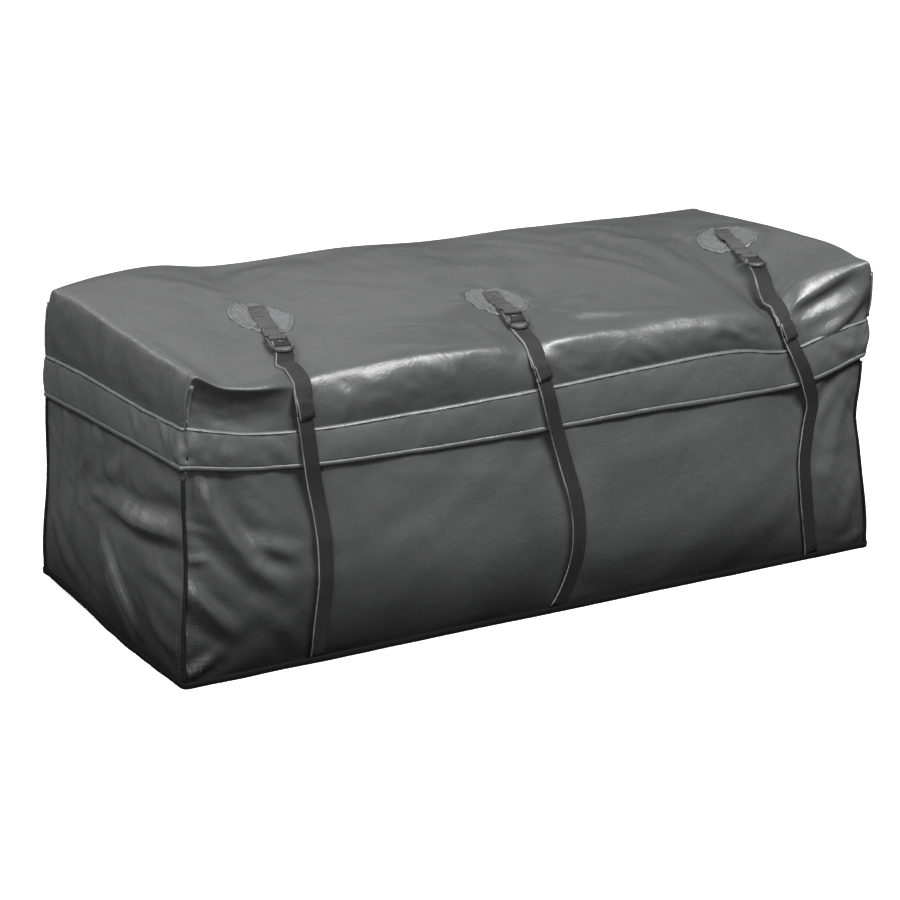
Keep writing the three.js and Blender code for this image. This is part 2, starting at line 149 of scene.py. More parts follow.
def fold(a, b, row):
    """A crease that stands out along a bent line in the plane (a, b), with a hollow on each side. It fades at
    both ends. The row has the line's three points, its height and its width, in millimetres."""
    p0, p1, p2 = np.reshape(row[:6], (3, 2)) * MM
    height, width = row[6:]
    along = np.linspace(0, 1, 14)
    p1 = 2 * p1 - (p0 + p2) / 2
    s, t = (1 - along)[:, None], along[:, None]
    curve = s**2 * p0 + 2 * (t * s) * p1 + t**2 * p2
    best = np.full(np.shape(a), 1e9)
    where = np.zeros(np.shape(a))
    for i in range(len(curve) - 1):
        d = curve[i + 1] - curve[i]
        t = np.clip(((a - curve[i][0]) * d[0] + (b - curve[i][1]) * d[1]) / (d @ d), 0, 1)
        away = np.hypot(a - curve[i][0] - t * d[0], b - curve[i][1] - t * d[1])
        near = away < best
        best = np.where(near, away, best)
        where = np.where(near, (i + t) / (len(curve) - 1), where)
    r = best / (width * MM)
    fade = np.sin(pi * np.clip(where, 0.02, 0.98)) ** 0.6
    return height * MM * fade * (np.exp(-(r**1.3)) - 0.5 * np.exp(-((r - 1.9) ** 2) * 1.4))


def folds(a, b, table):
    return sum(fold(a, b, row) for row in table)


def at_height(x, y, z):
    return np.stack([x, y, z + 0 * x], -1)


def run_along(path):
    """The distance from a path's start to each of its points."""
    return np.concatenate([[0], np.cumsum(np.linalg.norm(np.diff(path, axis=0), axis=1))])


def between(at, run, rows):
    """The row of values at a distance along a path."""
    return np.array([np.interp(at, run, column) for column in np.transpose(rows)])


# ---- meshes ----


def linked(name, data):
    made = bpy.data.objects.new(name, data)
    bpy.context.scene.collection.objects.link(made)
    return made


def shade_smooth(mesh):
    mesh.polygons.foreach_set("use_smooth", [True] * len(mesh.polygons))


def new_object(name, vertices, faces, material, uvs=None, shade=True):
    mesh = bpy.data.meshes.new(name)
    mesh.from_pydata([tuple(v) for v in vertices], [], [tuple(f) for f in faces])
    if uvs is not None:
        layer = mesh.uv_layers.new(name="UVMap")
        for loop in mesh.loops:
            layer.data[loop.index].uv = uvs[loop.vertex_index]
    mesh.materials.append(material)
    if shade:
        shade_smooth(mesh)
    mesh.update()
    return linked(name, mesh)


def apply_modifiers(o):
    graph = bpy.context.evaluated_depsgraph_get()
    mesh = bpy.data.meshes.new_from_object(o.evaluated_get(graph))
    old = o.data
    o.modifiers.clear()
    o.data = mesh
    bpy.data.meshes.remove(old)
    return o


def thicken(o, thickness, offset=-1.0, levels=0):
    if levels:
        o.modifiers.new("smooth", "SUBSURF").levels = levels
    solid = o.modifiers.new("thickness", "SOLIDIFY")
    solid.thickness = thickness
    solid.offset = offset
    solid.use_rim = True
    return apply_modifiers(o)


def settle(o, body, nodes=()):
    """The piece rides on its body and stands for its CAD nodes."""
    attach(o, body)
    if nodes:
        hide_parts(*nodes)
    return o


def quad_rows(rows, columns, closed=False, start=0):
    faces = []
    for i in range(rows - 1):
        for j in range(columns if closed else columns - 1):
            k = (j + 1) % columns
            a, b = start + i * columns, start + (i + 1) * columns
            faces.append((a + j, a + k, b + k, b + j))
    return faces


def sweep(name, path, outline, across, material, closed=False):
    """A tube of (side, up) outline points along a path. across is the side direction at each path point."""
    path = [Vector(p) for p in path]
    count = len(path)
    vertices, uvs = [], []
    run = 0.0
    for i, p in enumerate(path):
        before = path[(i - 1) % count] if closed or i else p
        after = path[(i + 1) % count] if closed or i < count - 1 else p
        tangent = (after - before).normalized()
        side = Vector(across[i] if isinstance(across, list) else across)
        side = (side - tangent * side.dot(tangent)).normalized()
        up = side.cross(tangent).normalized()
        if i:
            run += (p - path[i - 1]).length
        for k, (s, u) in enumerate(outline):
            vertices.append(p + side * s + up * u)
            uvs.append((k / len(outline), run))
    size = len(outline)
    faces = []
    for i in range(count if closed else count - 1):
        a, b = i * size, ((i + 1) % count) * size
        for k in range(size):
            m = (k + 1) % size
            faces.append((a + k, b + k, b + m, a + m))
    if not closed:
        faces.append(tuple(range(size)))
        faces.append(tuple(reversed(range((count - 1) * size, count * size))))
    return new_object(name, vertices, faces, material, uvs)


def sheet(name, rows, material):
    return new_object(name, np.concatenate(rows), quad_rows(len(rows), len(rows[0])), material)


def round_outline(radius, sides=10, flat=1.0):
    turns = [2 * pi * k / sides for k in range(sides)]
    return [(radius * cos(t), flat * radius * sin(t)) for t in turns]


def web_outline():
    """Webbing's section: slightly cupped, with rolled edges."""
    half, t = WEB / 2, STRAP_THICK / 2
    xs = np.linspace(-half + t, half - t, 12)
    rolled = t * (1 + 0.45 * (np.abs(xs) > half - 2.4 * t))
    return [(-half, 0.0), *zip(xs, rolled), (half, 0.0)] + [(x, -t) for x in xs[::-1]]


# ---- materials ----


class Nodes:
    """Builds one node material with few words."""

    def __init__(self, name, **values):
        self.material = bpy.data.materials.new(name)
        self.material.use_nodes = True
        self.tree = self.material.node_tree
        self.shader = self.tree.nodes["Principled BSDF"]
        self.set(self.shader, **values)
        self.coordinates = self.add("ShaderNodeTexCoord")

    def finish(self, colour, rough=None, normal=None):
        for value, socket in ((colour, "Base Color"), (rough, "Roughness"), (normal, "Normal")):
            if value:
                self.link(value, self.shader.inputs[socket])
        return self.material

    def add(self, kind, **values):
        node = self.tree.nodes.new(kind)
        for key, value in list(values.items()):
            if hasattr(node, key):
                setattr(node, key, value)
                del values[key]
        self.set(node, **values)
        return node

    def set(self, node, **values):
        for key, value in values.items():
            node.inputs[key.replace("_", " ")].default_value = value

    def link(self, source, target):
        self.tree.links.new(source, target)

    def noise(self, scale, detail=3.0, rough=0.5, vector=None, distortion=0.0):
        node = self.add("ShaderNodeTexNoise", Scale=scale, Detail=detail, Roughness=rough)
        self.set(node, Distortion=distortion)
        self.link(vector or self.coordinates.outputs["Object"], node.inputs["Vector"])
        return node.outputs["Fac"]

    def ramp(self, value, low, high, to_low=0.0, to_high=1.0):
        node = self.add("ShaderNodeMapRange", From_Min=low, From_Max=high, To_Min=to_low, To_Max=to_high)
        self.link(value, node.inputs["Value"])
        return node.outputs["Result"]

    def math(self, operation, a, b):
        node = self.add("ShaderNodeMath", operation=operation)
        for socket, value in zip(node.inputs, (a, b)):
            if isinstance(value, (int, float)):
                socket.default_value = value
            else:
                self.link(value, socket)
        return node.outputs[0]

    def mix(self, factor, a, b):
        node = self.add("ShaderNodeMix", data_type="RGBA")
        self.link(factor, node.inputs[0])
        for socket, value in ((node.inputs[6], a), (node.inputs[7], b)):
            if isinstance(value, tuple):
                socket.default_value = (*value, 1.0)
            else:
                self.link(value, socket)
        return node.outputs[2]

    def bump(self, height, distance, strength=1.0, under=None):
        node = self.add("ShaderNodeBump", Strength=strength, Distance=distance)
        self.link(height, node.inputs["Height"])
        if under:
            self.link(under, node.inputs["Normal"])
        return node.outputs["Normal"]

    def scaled(self, *scale):
        node = self.add("ShaderNodeMapping", Scale=scale)
        self.link(self.coordinates.outputs["Object"], node.inputs["Vector"])
        return node.outputs["Vector"]

    def split(self, source):
        node = self.add("ShaderNodeSeparateXYZ")
        self.link(self.coordinates.outputs[source], node.inputs["Vector"])
        return node.outputs


def grey(value, warm=0.0):
    return (value * (1 + warm), value, value * (1 - warm))


def vinyl_material(name, level, shine=0.4, scale=1.0, gloss=0.5):
    """Coated vinyl: a fine pebbled grain, soft crushed creases, dull and shiny areas from handling, and painted
    shade that darkens it towards the ground, where the walls turn under."""
    n = Nodes(name, IOR=1.5)
    n.set(n.shader, Specular_IOR_Level=gloss)
    patches = n.noise(2.6 * scale, 4, 0.6, distortion=0.4)
    fine = n.noise(46 * scale, 3, 0.6)
    scuff = n.noise(16, 6, 0.75, n.scaled(1, 1.6, 0.5), 1.2)
    tone = n.mix(n.ramp(patches, 0.3, 0.7), grey(level * 0.86, -0.015), grey(level * 1.12, -0.012))
    worn = n.mix(n.ramp(scuff, 0.64, 0.82, 0, 0.35), tone, grey(level * 2.1))
    # painted shade: the colour is darkened towards the bottom of the walls, where they turn under away from the
    # light
    height = n.math("ADD", n.split("Object")["Z"], n.ramp(patches, 0.3, 0.7, -0.02, 0.02))
    foot = n.ramp(height, 0.0, 0.17, 0.92, 0.0)
    clean = n.mix(n.ramp(fine, 0.35, 0.75, 0, 0.3), worn, grey(level * 0.75))
    handled = n.ramp(patches, 0.3, 0.7, shine - 0.06, shine + 0.07)
    rough = n.math("ADD", handled, n.ramp(scuff, 0.5, 0.8, 0, 0.1))
    grain = n.add("ShaderNodeTexVoronoi", Scale=620.0, feature="SMOOTH_F1")
    n.link(n.coordinates.outputs["Object"], grain.inputs["Vector"])
    pebbled = n.bump(grain.outputs["Distance"], 0.00022, 0.35)
    crushed = n.noise(24, 5, 0.62, distortion=1.6)
    soft = n.bump(crushed, 0.0035, 0.36, pebbled)
    broad = n.bump(n.noise(7, 2, 0.5, distortion=0.8), 0.012, 0.16, soft)
    return n.finish(n.mix(foot, clean, grey(0.006)), rough, broad)


def webbing_material(name, level, edge=0.2):
    """Woven polypropylene: fine ribs along it, crossed by the weft, and a painted highlight along one edge."""
    n = Nodes(name, Roughness=0.6)
    n.set(n.shader, Specular_IOR_Level=0.35)
    split = n.split("UV")
    across, along = split["X"], split["Y"]
    ribs = n.math("SINE", n.math("MULTIPLY", across, 2 * pi * 44), 0)
    weft = n.math("SINE", n.math("MULTIPLY", along, 2 * pi / 0.0022), 0)
    weave = n.math("MULTIPLY", ribs, weft)
    height = n.math("ADD", n.math("MULTIPLY", ribs, 0.5), weave)
    fuzz = n.noise(160, 4, 0.7)
    tone = n.mix(n.ramp(weave, -1, 1), grey(level * 0.7), grey(level * 1.35))
    faded = n.mix(n.ramp(n.noise(9, 4, 0.6), 0.45, 0.8, 0, 0.5), tone, grey(level * 1.9))
    worn = n.mix(n.ramp(fuzz, 0.5, 0.8, 0, 0.35), faded, grey(level * 2.4))
    # painted highlight: a lighter stripe along one edge, where light catches the strap's rolled selvedge; edge
    # sets its brightness
    patchy = n.ramp(n.noise(14, 3, 0.6), 0.35, 0.6, 0.25, 1)
    edge_highlight_mask = n.math("MULTIPLY", n.ramp(across, 0.045, 0.07, 1, 0), patchy)
    colour = n.mix(edge_highlight_mask, worn, grey(max(edge, level)))
    return n.finish(colour, normal=n.bump(height, 0.0004, 0.6, n.bump(fuzz, 0.0006, 0.3)))


def plastic_material(name, level, shine=0.34):
    """Moulded acetal: faint flow marks."""
    n = Nodes(name)
    marks = n.noise(60, 4, 0.6, n.scaled(1, 0.3, 1))
    colour = n.mix(n.ramp(marks, 0.35, 0.7), grey(level * 0.85), grey(level * 1.3))
    rough = n.ramp(marks, 0.3, 0.7, shine - 0.05, shine + 0.1)
    return n.finish(colour, rough, n.bump(n.noise(900, 2, 0.5), 0.0001, 0.25))


def metal_material(name):
    """Die-cast zinc with brushed streaks."""
    n = Nodes(name, Metallic=1.0)
    streaks = n.noise(140, 4, 0.6, n.scaled(1, 1, 7))
    colour = n.mix(n.ramp(streaks, 0.3, 0.7), grey(0.3), grey(0.5))
    return n.finish(colour, n.ramp(streaks, 0.3, 0.7, 0.26, 0.42), n.bump(streaks, 0.0002, 0.3))


def floor_material():
    n = Nodes("floor", Roughness=0.9, Emission_Strength=0.7)
    n.shader.inputs["Emission Color"].default_value = (1, 1, 1, 1)
    return n.finish(n.mix(n.noise(3), grey(0.9), grey(0.94)))


VINYL = vinyl_material("vinyl", 0.054, 0.39)
# a lighter copy of the vinyl for the storm flap: painted light that brightens the flap's band
LIGHTER_FLAP_VINYL = vinyl_material("flap_vinyl_painted_light", 0.07, 0.42)
# a lighter copy of the vinyl: painted highlight on the patches' puckers and on the lid's folded corners
HIGHLIGHT_VINYL = vinyl_material("patch_vinyl", 0.088, 0.26, 2.0)
TRIM = vinyl_material("trim_vinyl", 0.008, 0.5, gloss=0.2)
BINDING = vinyl_material("binding_vinyl", 0.006, 0.85, gloss=0.05)
WEBBING = webbing_material("webbing", 0.009)
ANCHOR_WEBBING = webbing_material("anchor_webbing", 0.045, 0.0)
THREAD = webbing_material("thread", 0.05, 0.0)
PLASTIC = plastic_material("buckle_plastic", 0.012)
# a lighter copy of the buckle plastic: painted highlight on the buckles' side rails and thumb grip
LIT_PLASTIC = plastic_material("buckle_painted_highlight_plastic", 0.05, 0.3)
COIL = plastic_material("zip_coil_plastic", 0.014)
METAL = metal_material("zip_metal")

# ---- a shell: a panel of points, and loops of points hung from its rim ----


class Shell:
    """Point layout of a box-shaped shell. Its loops start at the corner (-x, -y) and run anticlockwise."""

    def __init__(self, nx, ny):
        self.nx, self.ny = nx, ny
        corners = [(i, 0) for i in range(nx - 1)] + [(nx - 1, j) for j in range(ny - 1)]
        corners += [(i, ny - 1) for i in range(nx - 1, 0, -1)] + [(0, j) for j in range(ny - 1, 0, -1)]
        self.rim = np.array(corners)
        self.size = len(corners)
        self.side = np.array([0] * (nx - 1) + [1] * (ny - 1) + [2] * (nx - 1) + [3] * (ny - 1))
        self.u = self.rim[:, 0] / (nx - 1) * 2 - 1
        self.v = self.rim[:, 1] / (ny - 1) * 2 - 1
        # which way each rim point's wall faces, and at a corner between its two walls
        self.out = np.array([(0, -1), (1, 0), (0, 1), (-1, 0)], float)[self.side]
        self.corners = (np.abs(self.u) > 0.999) & (np.abs(self.v) > 0.999)
        self.out[self.corners] = 0.7 * np.sign(np.stack([self.u, self.v], 1)[self.corners])

    def build(self, name, panel, loops, material, flip=False):
        """panel is nx by ny points, and loops is a list of rows of rim points."""
        nx, ny, m = self.nx, self.ny, self.size
        vertices = list(panel.reshape(-1, 3))
        faces = []
        for i in range(nx - 1):
            for j in range(ny - 1):
                a = i * ny + j
                faces.append((a, a + ny, a + ny + 1, a + 1))
        above = [int(i * ny + j) for i, j in self.rim]
        for row in loops:
            here = list(range(len(vertices), len(vertices) + m))
            vertices.extend(row)
            for k in range(m):
                q = (k + 1) % m
                faces.append((above[k], here[k], here[q], above[q]))
            above = here
        if flip:
            faces = [tuple(reversed(f)) for f in faces]
        return new_object(name, vertices, faces, material)


# ---- the tub ----

FRONT_FOLDS = [
    # x, z three times, height, width: pleats by the near corner, and long soft folds beyond
    (-672, 366, -664, 332, -656, 285, 9, 8),
    (-648, 345, -634, 262, -525, 135, 17, 16),
    (-690, 372, -686, 345, -684, 310, 4, 6),
    (-704, 190, -672, 140, -615, 78, 14, 11),
    (-706, 272, -679, 265, -645, 246, 5, 6),
    (-706, 226, -680, 214, -652, 214, 5, 6),
    (-706, 12, -684, 26, -640, 50, 10, 10),
    (-592, 236, -540, 212, -484, 192, 7, 13),
    (-612, 355, -592, 275, -566, 190, -6, 17),
    (-706, 120, -676, 92, -640, 60, -4, 9),
    (-560, 120, -520, 70, -500, 25, 5, 16),
    (652, 362, 598, 310, 562, 262, -7, 13),
    (690, 320, 645, 262, 600, 130, 5, 19),
    (700, 150, 668, 100, 640, 30, 5, 14),
    (696, 40, 676, 20, 640, 14, 5, 9),
    (-380, 300, -180, 285, -60, 250, 2.5, 34),
    (60, 250, 220, 265, 420, 300, 2.5, 34),
    (40, 110, 240, 80, 520, 90, 2.5, 36),
]
LEFT_FOLDS = [
    # y, z three times, height, width
    (-272, 262, -150, 243, 15, 236, 19, 16),
    (20, 238, 45, 236, 70, 228, 6, 9),
    (22, 178, -36, 108, -112, 40, 13, 9),
    (205, 366, 188, 290, 212, 205, 5, 10),
    (96, 374, 70, 322, 122, 250, 9, 12),
    (150, 345, 150, 240, 176, 120, -4, 12),
    (-262, 150, -200, 170, -120, 168, 6, 15),
    (-262, 340, -210, 318, -120, 322, 5, 14),
    (-262, 60, -200, 66, -150, 100, 5, 13),
    (-60, 340, -20, 300, 20, 290, 5, 13),
    (230, 150, 200, 90, 120, 40, 5, 15),
    (-20, 150, 30, 90, 40, 30, -4, 12),
    (250, 300, 238, 220, 244, 130, 4, 9),
]
RIGHT_FOLDS = [
    (262, 250, 150, 232, 10, 240, 9, 17),
    (-262, 330, -180, 250, -60, 200, 9, 17),
    (-40, 330, -90, 200, -150, 60, 6, 14),
    (200, 340, 170, 200, 190, 60, 5, 13),
    (60, 150, 20, 90, -60, 40, 6, 13),
    (-250, 90, -190, 60, -120, 60, 5, 13),
]


def wall_bulge(span, z):
    """How far a packed wall stands out: most a third of the way up and between its corners."""
    height = np.clip(z / (RIM_Z + 0.01), 0, 1)
    tuck = 1 - (1 - np.clip(z / 0.15, 0, 1)) ** 1.8
    return (1 - np.abs(span) ** 3.2) * tuck * (1 - smooth(height, 0.4, 1.0)) ** 0.7


def at_rim(z):
    """1 down the wall, and 0 at the rim, where the zip holds it flat."""
    return 1 - smooth(z, RIM_Z - 45 * MM, RIM_Z - 10 * MM)


def held(span, z, foot, side):
    """1 on the open wall, and 0 at its foot and its corners, where it is sewn."""
    return smooth(z, 0.0, foot) * smooth(1 - np.abs(span), 0.0, side)


def front_out(x, z):
    """How far the front wall stands out: less under each strap, and more beside it."""
    span = x / HALF_X
    out = 24 * MM * wall_bulge(span, z)
    for n in STRAPS:
        line = FOOT_X[n] + (HEM_X[n] - FOOT_X[n]) * z / FLAP_LOW.z
        beside = bump(x, line - 62 * MM, 26 * MM) + bump(x, line + 62 * MM, 26 * MM)
        out = out + (2.2 * MM * beside - 4.5 * MM * bump(x, line, 48 * MM)) * smooth(z, 0, 0.1)
    hold = held(span, z, 0.02, 0.012)
    fine = 1.1 * MM * smooth(np.abs(span), 0.55, 0.98) * ripple(x, z, 0.05, 6, 2.2, -0.7)
    out = out + folds(x, z, FRONT_FOLDS) + hold * (1.6 * MM * ripple(x, z, 0.16, 5, 1.6, 0.5) + fine)
    return out * hold * at_rim(z)


def end_out(y, z, seed, table):
    span = y / HALF_Y
    hold = held(span, z, 0.02, 0.035)
    waves = 1.6 * MM * ripple(y, z, 0.13, seed, 1.8, 1.1) + 1.2 * MM * ripple(y, z, 0.05, seed + 1, 2.2, 0.8)
    out = 12 * MM * wall_bulge(span, z) + folds(y, z, table) + hold * waves
    return out * hold * at_rim(z)


def back_out(x, z):
    span = x / HALF_X
    out = 15 * MM * wall_bulge(span, z)
    rng = np.random.default_rng(31)
    for _ in range(13):
        x0, z0 = rng.uniform(-620, 620), rng.uniform(60, 330)
        lean, length = rng.uniform(-1.2, 1.2), rng.uniform(90, 190)
        bend = rng.uniform(-30, 30)
        line = (x0, z0, x0 + bend + length * 0.5 * lean, z0 - 20, x0 + length * lean, z0 - length * 0.5)
        out = out + fold(x, z, (*line, rng.uniform(2, 5), rng.uniform(12, 24)))
    hold = held(span, z, 0.03, 0.02)
    return (out + 2.2 * MM * ripple(x, z, 0.17, 32, 1.7, 0.4)) * hold * at_rim(z)


# (z, depth) in millimetres down the front right corner
CORNER_DENT = [(0, 0), (40, 1), (130, 7), (195, 12), (255, 20), (320, 14), (380, 9), (480, 5), (545, 0)]
CORNER_LIFT = 24 * MM


def dent(points):
    """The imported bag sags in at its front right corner, and its back left corner is lifted off the ground."""
    x, y, z = np.moveaxis(points, -1, 0)
    depth = line_z(z, CORNER_DENT)
    near = bump(np.hypot(x - BASE_HIGH.x, y - BASE_LOW.y), 0, 80 * MM)
    lift = CORNER_LIFT * smooth(-x, 0.36, 0.69) * smooth(y, -0.12, 0.26) * (1 - smooth(z, 0.0, 0.28))
    return np.stack([x - 0.85 * depth * near, y + 0.52 * depth * near, z + lift], -1)


def make_tub():
    shell = Shell(177, 71)
    xs = np.linspace(-HALF_X, HALF_X, shell.nx)
    ys = np.linspace(-HALF_Y, HALF_Y, shell.ny)
    px, py = np.meshgrid(xs, ys, indexing="ij")
    inset = 1 - np.maximum(np.abs(px) / HALF_X, np.abs(py) / HALF_Y)
    flat = 1.2 * MM + 1.5 * MM * smooth(inset, 0, 0.2) * (1 + 0.3 * ripple(px, py, 0.2, 9))
    top = RIM_Z - 4 * MM
    loops = []
    for z in [4 * MM, 9 * MM, *np.linspace(16 * MM, top, 50)]:
        hx = HALF_X + (RIM_X - HALF_X) * z / top
        low, high = -HALF_Y + (RIM_FRONT_Y + HALF_Y) * z / top, HALF_Y + (RIM_BACK_Y - HALF_Y) * z / top
        x, y = shell.u * hx, (low + high) / 2 + shell.v * (high - low) / 2
        right, left = end_out(y, z, 41, RIGHT_FOLDS), end_out(y, z, 15, LEFT_FOLDS)
        stand = np.choose(shell.side, [front_out(x, z), right, back_out(x, z), left])
        stand = np.where(shell.corners, 0, stand)
        wobble = 2.2 * MM * sin(9 * z / RIM_Z) * smooth(z, 0, 0.05) * shell.corners
        x = x + shell.out[:, 0] * stand + np.sign(shell.u) * wobble
        y = y + shell.out[:, 1] * stand
        loops.append(dent(at_height(x, y, z)))
    tub = shell.build("tub", dent(np.stack([px, py, flat], -1)), loops, VINYL, flip=True)
    return tub, shell, np.array(loops)


# ---- the lid ----

# Lines along the lid, in millimetres: heights of its top's edges, (x, z) or at its ends (y, z)
FRONT_EDGE = [(-676, 524), (-640, 503), (-595, 493), (-530, 488), (-470, 486), (-300, 493), (-150, 491),
              (-35, 481), (60, 486), (200, 486), (380, 484), (450, 474), (503, 456), (540, 490), (594, 512),
              (640, 530), (676, 546)]
BACK_EDGE = [(-676, 540), (-600, 553), (-490, 561), (-400, 549), (-250, 549), (-120, 551), (60, 542),
             (250, 544), (420, 541), (560, 538), (676, 538)]
LEFT_EDGE = [(-254, 526), (-100, 533), (90, 542), (190, 547), (266, 543)]
RIGHT_EDGE = [(-254, 547), (-180, 560), (-60, 560), (100, 550), (266, 538)]
# heights of the flap's seam and of its hem
SEAM_LINE = [(-690, 437), (-580, 412), (-480, 403), (-300, 402), (0, 408), (200, 416), (400, 418),
             (505, 404), (600, 424), (690, 437)]
HEM_LINE = [(-690, 368), (-580, 349), (-467, 340), (-303, 334), (0, 332), (200, 334), (400, 332),
            (537, 336), (690, 368)]
END_SEAM = [(-270, 437), (-130, 431), (0, 431), (130, 430), (270, 424)]
END_HEM = [(-270, 368), (-140, 366), (0, 362), (130, 358), (270, 352)]
# (x, how far back the front edge lies) and (x, how far out the skirt bellies)
FRONT_SHIFT = [(-684, -19), (-630, -24), (-560, -24), (-505, -13), (-450, 3), (-300, 4), (300, 5),
               (440, 6), (505, 14), (600, 10), (684, -12)]
SKIRT_BELLY = [(-684, -8), (-540, -10), (-480, -2), (0, 2), (450, 2), (520, -3), (684, 2)]
SKIRT_FOLDS = [
    # x, z three times, height, width
    (548, 412, 625, 444, 684, 520, 11, 17),
    (530, 462, 590, 482, 650, 512, -11, 11),
    (625, 428, 662, 444, 686, 482, -6, 10),
    (-10, 470, 20, 440, 30, 415, 3, 8),
    (180, 465, 215, 440, 225, 420, 3, 9),
    (-420, 470, -390, 440, -400, 415, 2.5, 10),
    (-250, 476, -200, 450, -190, 415, 2.5, 12),
    (330, 470, 390, 450, 400, 425, 3, 10),
    (-640, 480, -600, 455, -560, 450, 3, 12),
]
TOP_FOLDS = [
    # x, y three times, height, width
    (505, -220, 590, -232, 672, -246, 9, 14),
    (-390, -60, -300, -62, -230, -66, 2.5, 6),
    (-395, -35, -330, -20, -250, -22, 2, 6),
    (60, -120, 120, -128, 175, -124, 7, 11),
    (70, -176, 150, -196, 300, -212, 5, 10),
    (-290, -160, -220, -180, -150, -206, 7, 18),
    (-120, -170, -100, -200, -90, -236, 4, 12),
    (220, 60, 300, -40, 350, -160, 4, 20),
    (390, 130, 430, 20, 440, -120, 4, 20),
    (-420, 120, -360, 180, -260, 215, 4, 20),
    (-560, 190, -480, 60, -470, -20, 3, 22),
    (490, 30, 470, -30, 480, -90, 3, 9),
    (120, 180, 60, 60, 40, -40, 3, 24),
    (500, -180, 490, -215, 486, -248, 4, 12),
    (545, -205, 560, -150, 600, -60, 3, 20),
    (-480, -210, -520, -228, -600, -235, 3, 14),
    (-500, -150, -560, -40, -640, 120, 5, 36),
    (-430, 40, -330, 140, -200, 190, 4, 34),
    (-300, -180, -120, -120, -40, -130, 3, 26),
    (-60, 80, 120, 10, 330, -90, 5, 42),
    (60, -150, 160, -205, 300, -225, 5, 17),
    (20, -60, 90, 30, 120, 160, 3, 24),
    (360, 120, 450, 60, 540, 60, 4, 30),
    (250, 180, 420, 160, 600, 190, 3, 30),
    (-640, -200, -600, -120, -560, 40, 3, 30),
]


BUCKLE_RISE = 11 * MM  # from the lid's top to a buckle's pivot


def top_base(x, y):
    """The lid's top without its folds: edges at their own heights, and a soft crown between."""
    t = np.clip((y - FRONT_Y) / (BACK_Y - FRONT_Y), 0, 1)

    def from_edges(along):
        front, back = line_z(along, FRONT_EDGE), line_z(along, BACK_EDGE)
        return front + (back - front) * (1 - (1 - t) ** 2.0)

    z = from_edges(x) + 5 * MM * np.sin(pi * t) * (1 - (np.abs(x) / LID_X) ** 4)
    for edge, side in ((LEFT_EDGE, -1), (RIGHT_EDGE, 1)):
        plain = from_edges(np.full_like(y, side * LID_X))
        z = z + (line_z(y, edge) - plain) * smooth(side * x, LID_X - 0.2, LID_X)
    return z


def crease_lines(x, y, sharpness, *wave):
    """Thin ridges along the lines where a ripple is level."""
    return np.exp(-((ripple(x, y, *wave) / sharpness) ** 2))


def top_height(x, y):
    """Height of the lid's top before its edges are rounded off."""
    z = top_base(x, y)
    for n in STRAPS:
        pivot = BUCKLE_PIVOT[n]
        here = top_base(np.array([pivot.x]), np.array([pivot.y]))[0]
        z = z + (pivot.z - BUCKLE_RISE - here) * bump(np.hypot((x - pivot.x) * 0.8, y - pivot.y), 0, 85 * MM)
    z = z + folds(x, y, TOP_FOLDS)
    edge = smooth(np.minimum(LID_X - np.abs(x), np.minimum(y - FRONT_Y, BACK_Y - y)), 0, 0.05)
    creases = crease_lines(x, y, 0.16, 0.24, 53, 2.6, 1.9) + crease_lines(x, y, 0.14, 0.2, 54, 2.2, 0.5)
    z = z + edge * (1.8 * MM * ripple(x, y, 0.3, 51, 1.5, 0.6) + 0.7 * MM * ripple(x, y, 0.09, 52, 1.8, 2.0))
    z = z + edge * creases * 1.3 * MM * smooth(ripple(x, y, 0.5, 55), -0.4, 0.8)
    for n in STRAPS:
        z = z + patch_pucker(x, y, n)
    return z


def patch_pucker(x, y, n):
    """Radial pleats and a ring of slack round a sewn patch, which is drawn down in its middle."""
    dx, dy = x - PATCH_AT[n].x, y - PATCH_AT[n].y
    r, angle = np.hypot(dx, dy), np.arctan2(dy, dx)
    ring = bump(r, 62 * MM, 16 * MM)
    pleats = np.sin(9 * angle + 2.2 * n + 1.5 * np.sin(2 * angle)) * bump(r, 48 * MM, 26 * MM)
    return 3.2 * MM * ring - 3.5 * MM * bump(r, 0, 34 * MM) + 1.6 * MM * pleats


def edge_drop(gap, radius):
    """How far the surface falls within radius of an edge."""
    t = np.clip(1 - gap / radius, 0, 1)
    return radius * (1 - np.sqrt(np.clip(1 - 0.86 * t * t, 0, 1)))


def strap_line_x(n, y):
    """Where strap n's middle lies on the lid's top, at y."""
    start, pivot = PATCH_AT[n], BUCKLE_PIVOT[n]
    return start.x + (pivot.x - start.x) * (y - start.y) / (pivot.y - start.y)


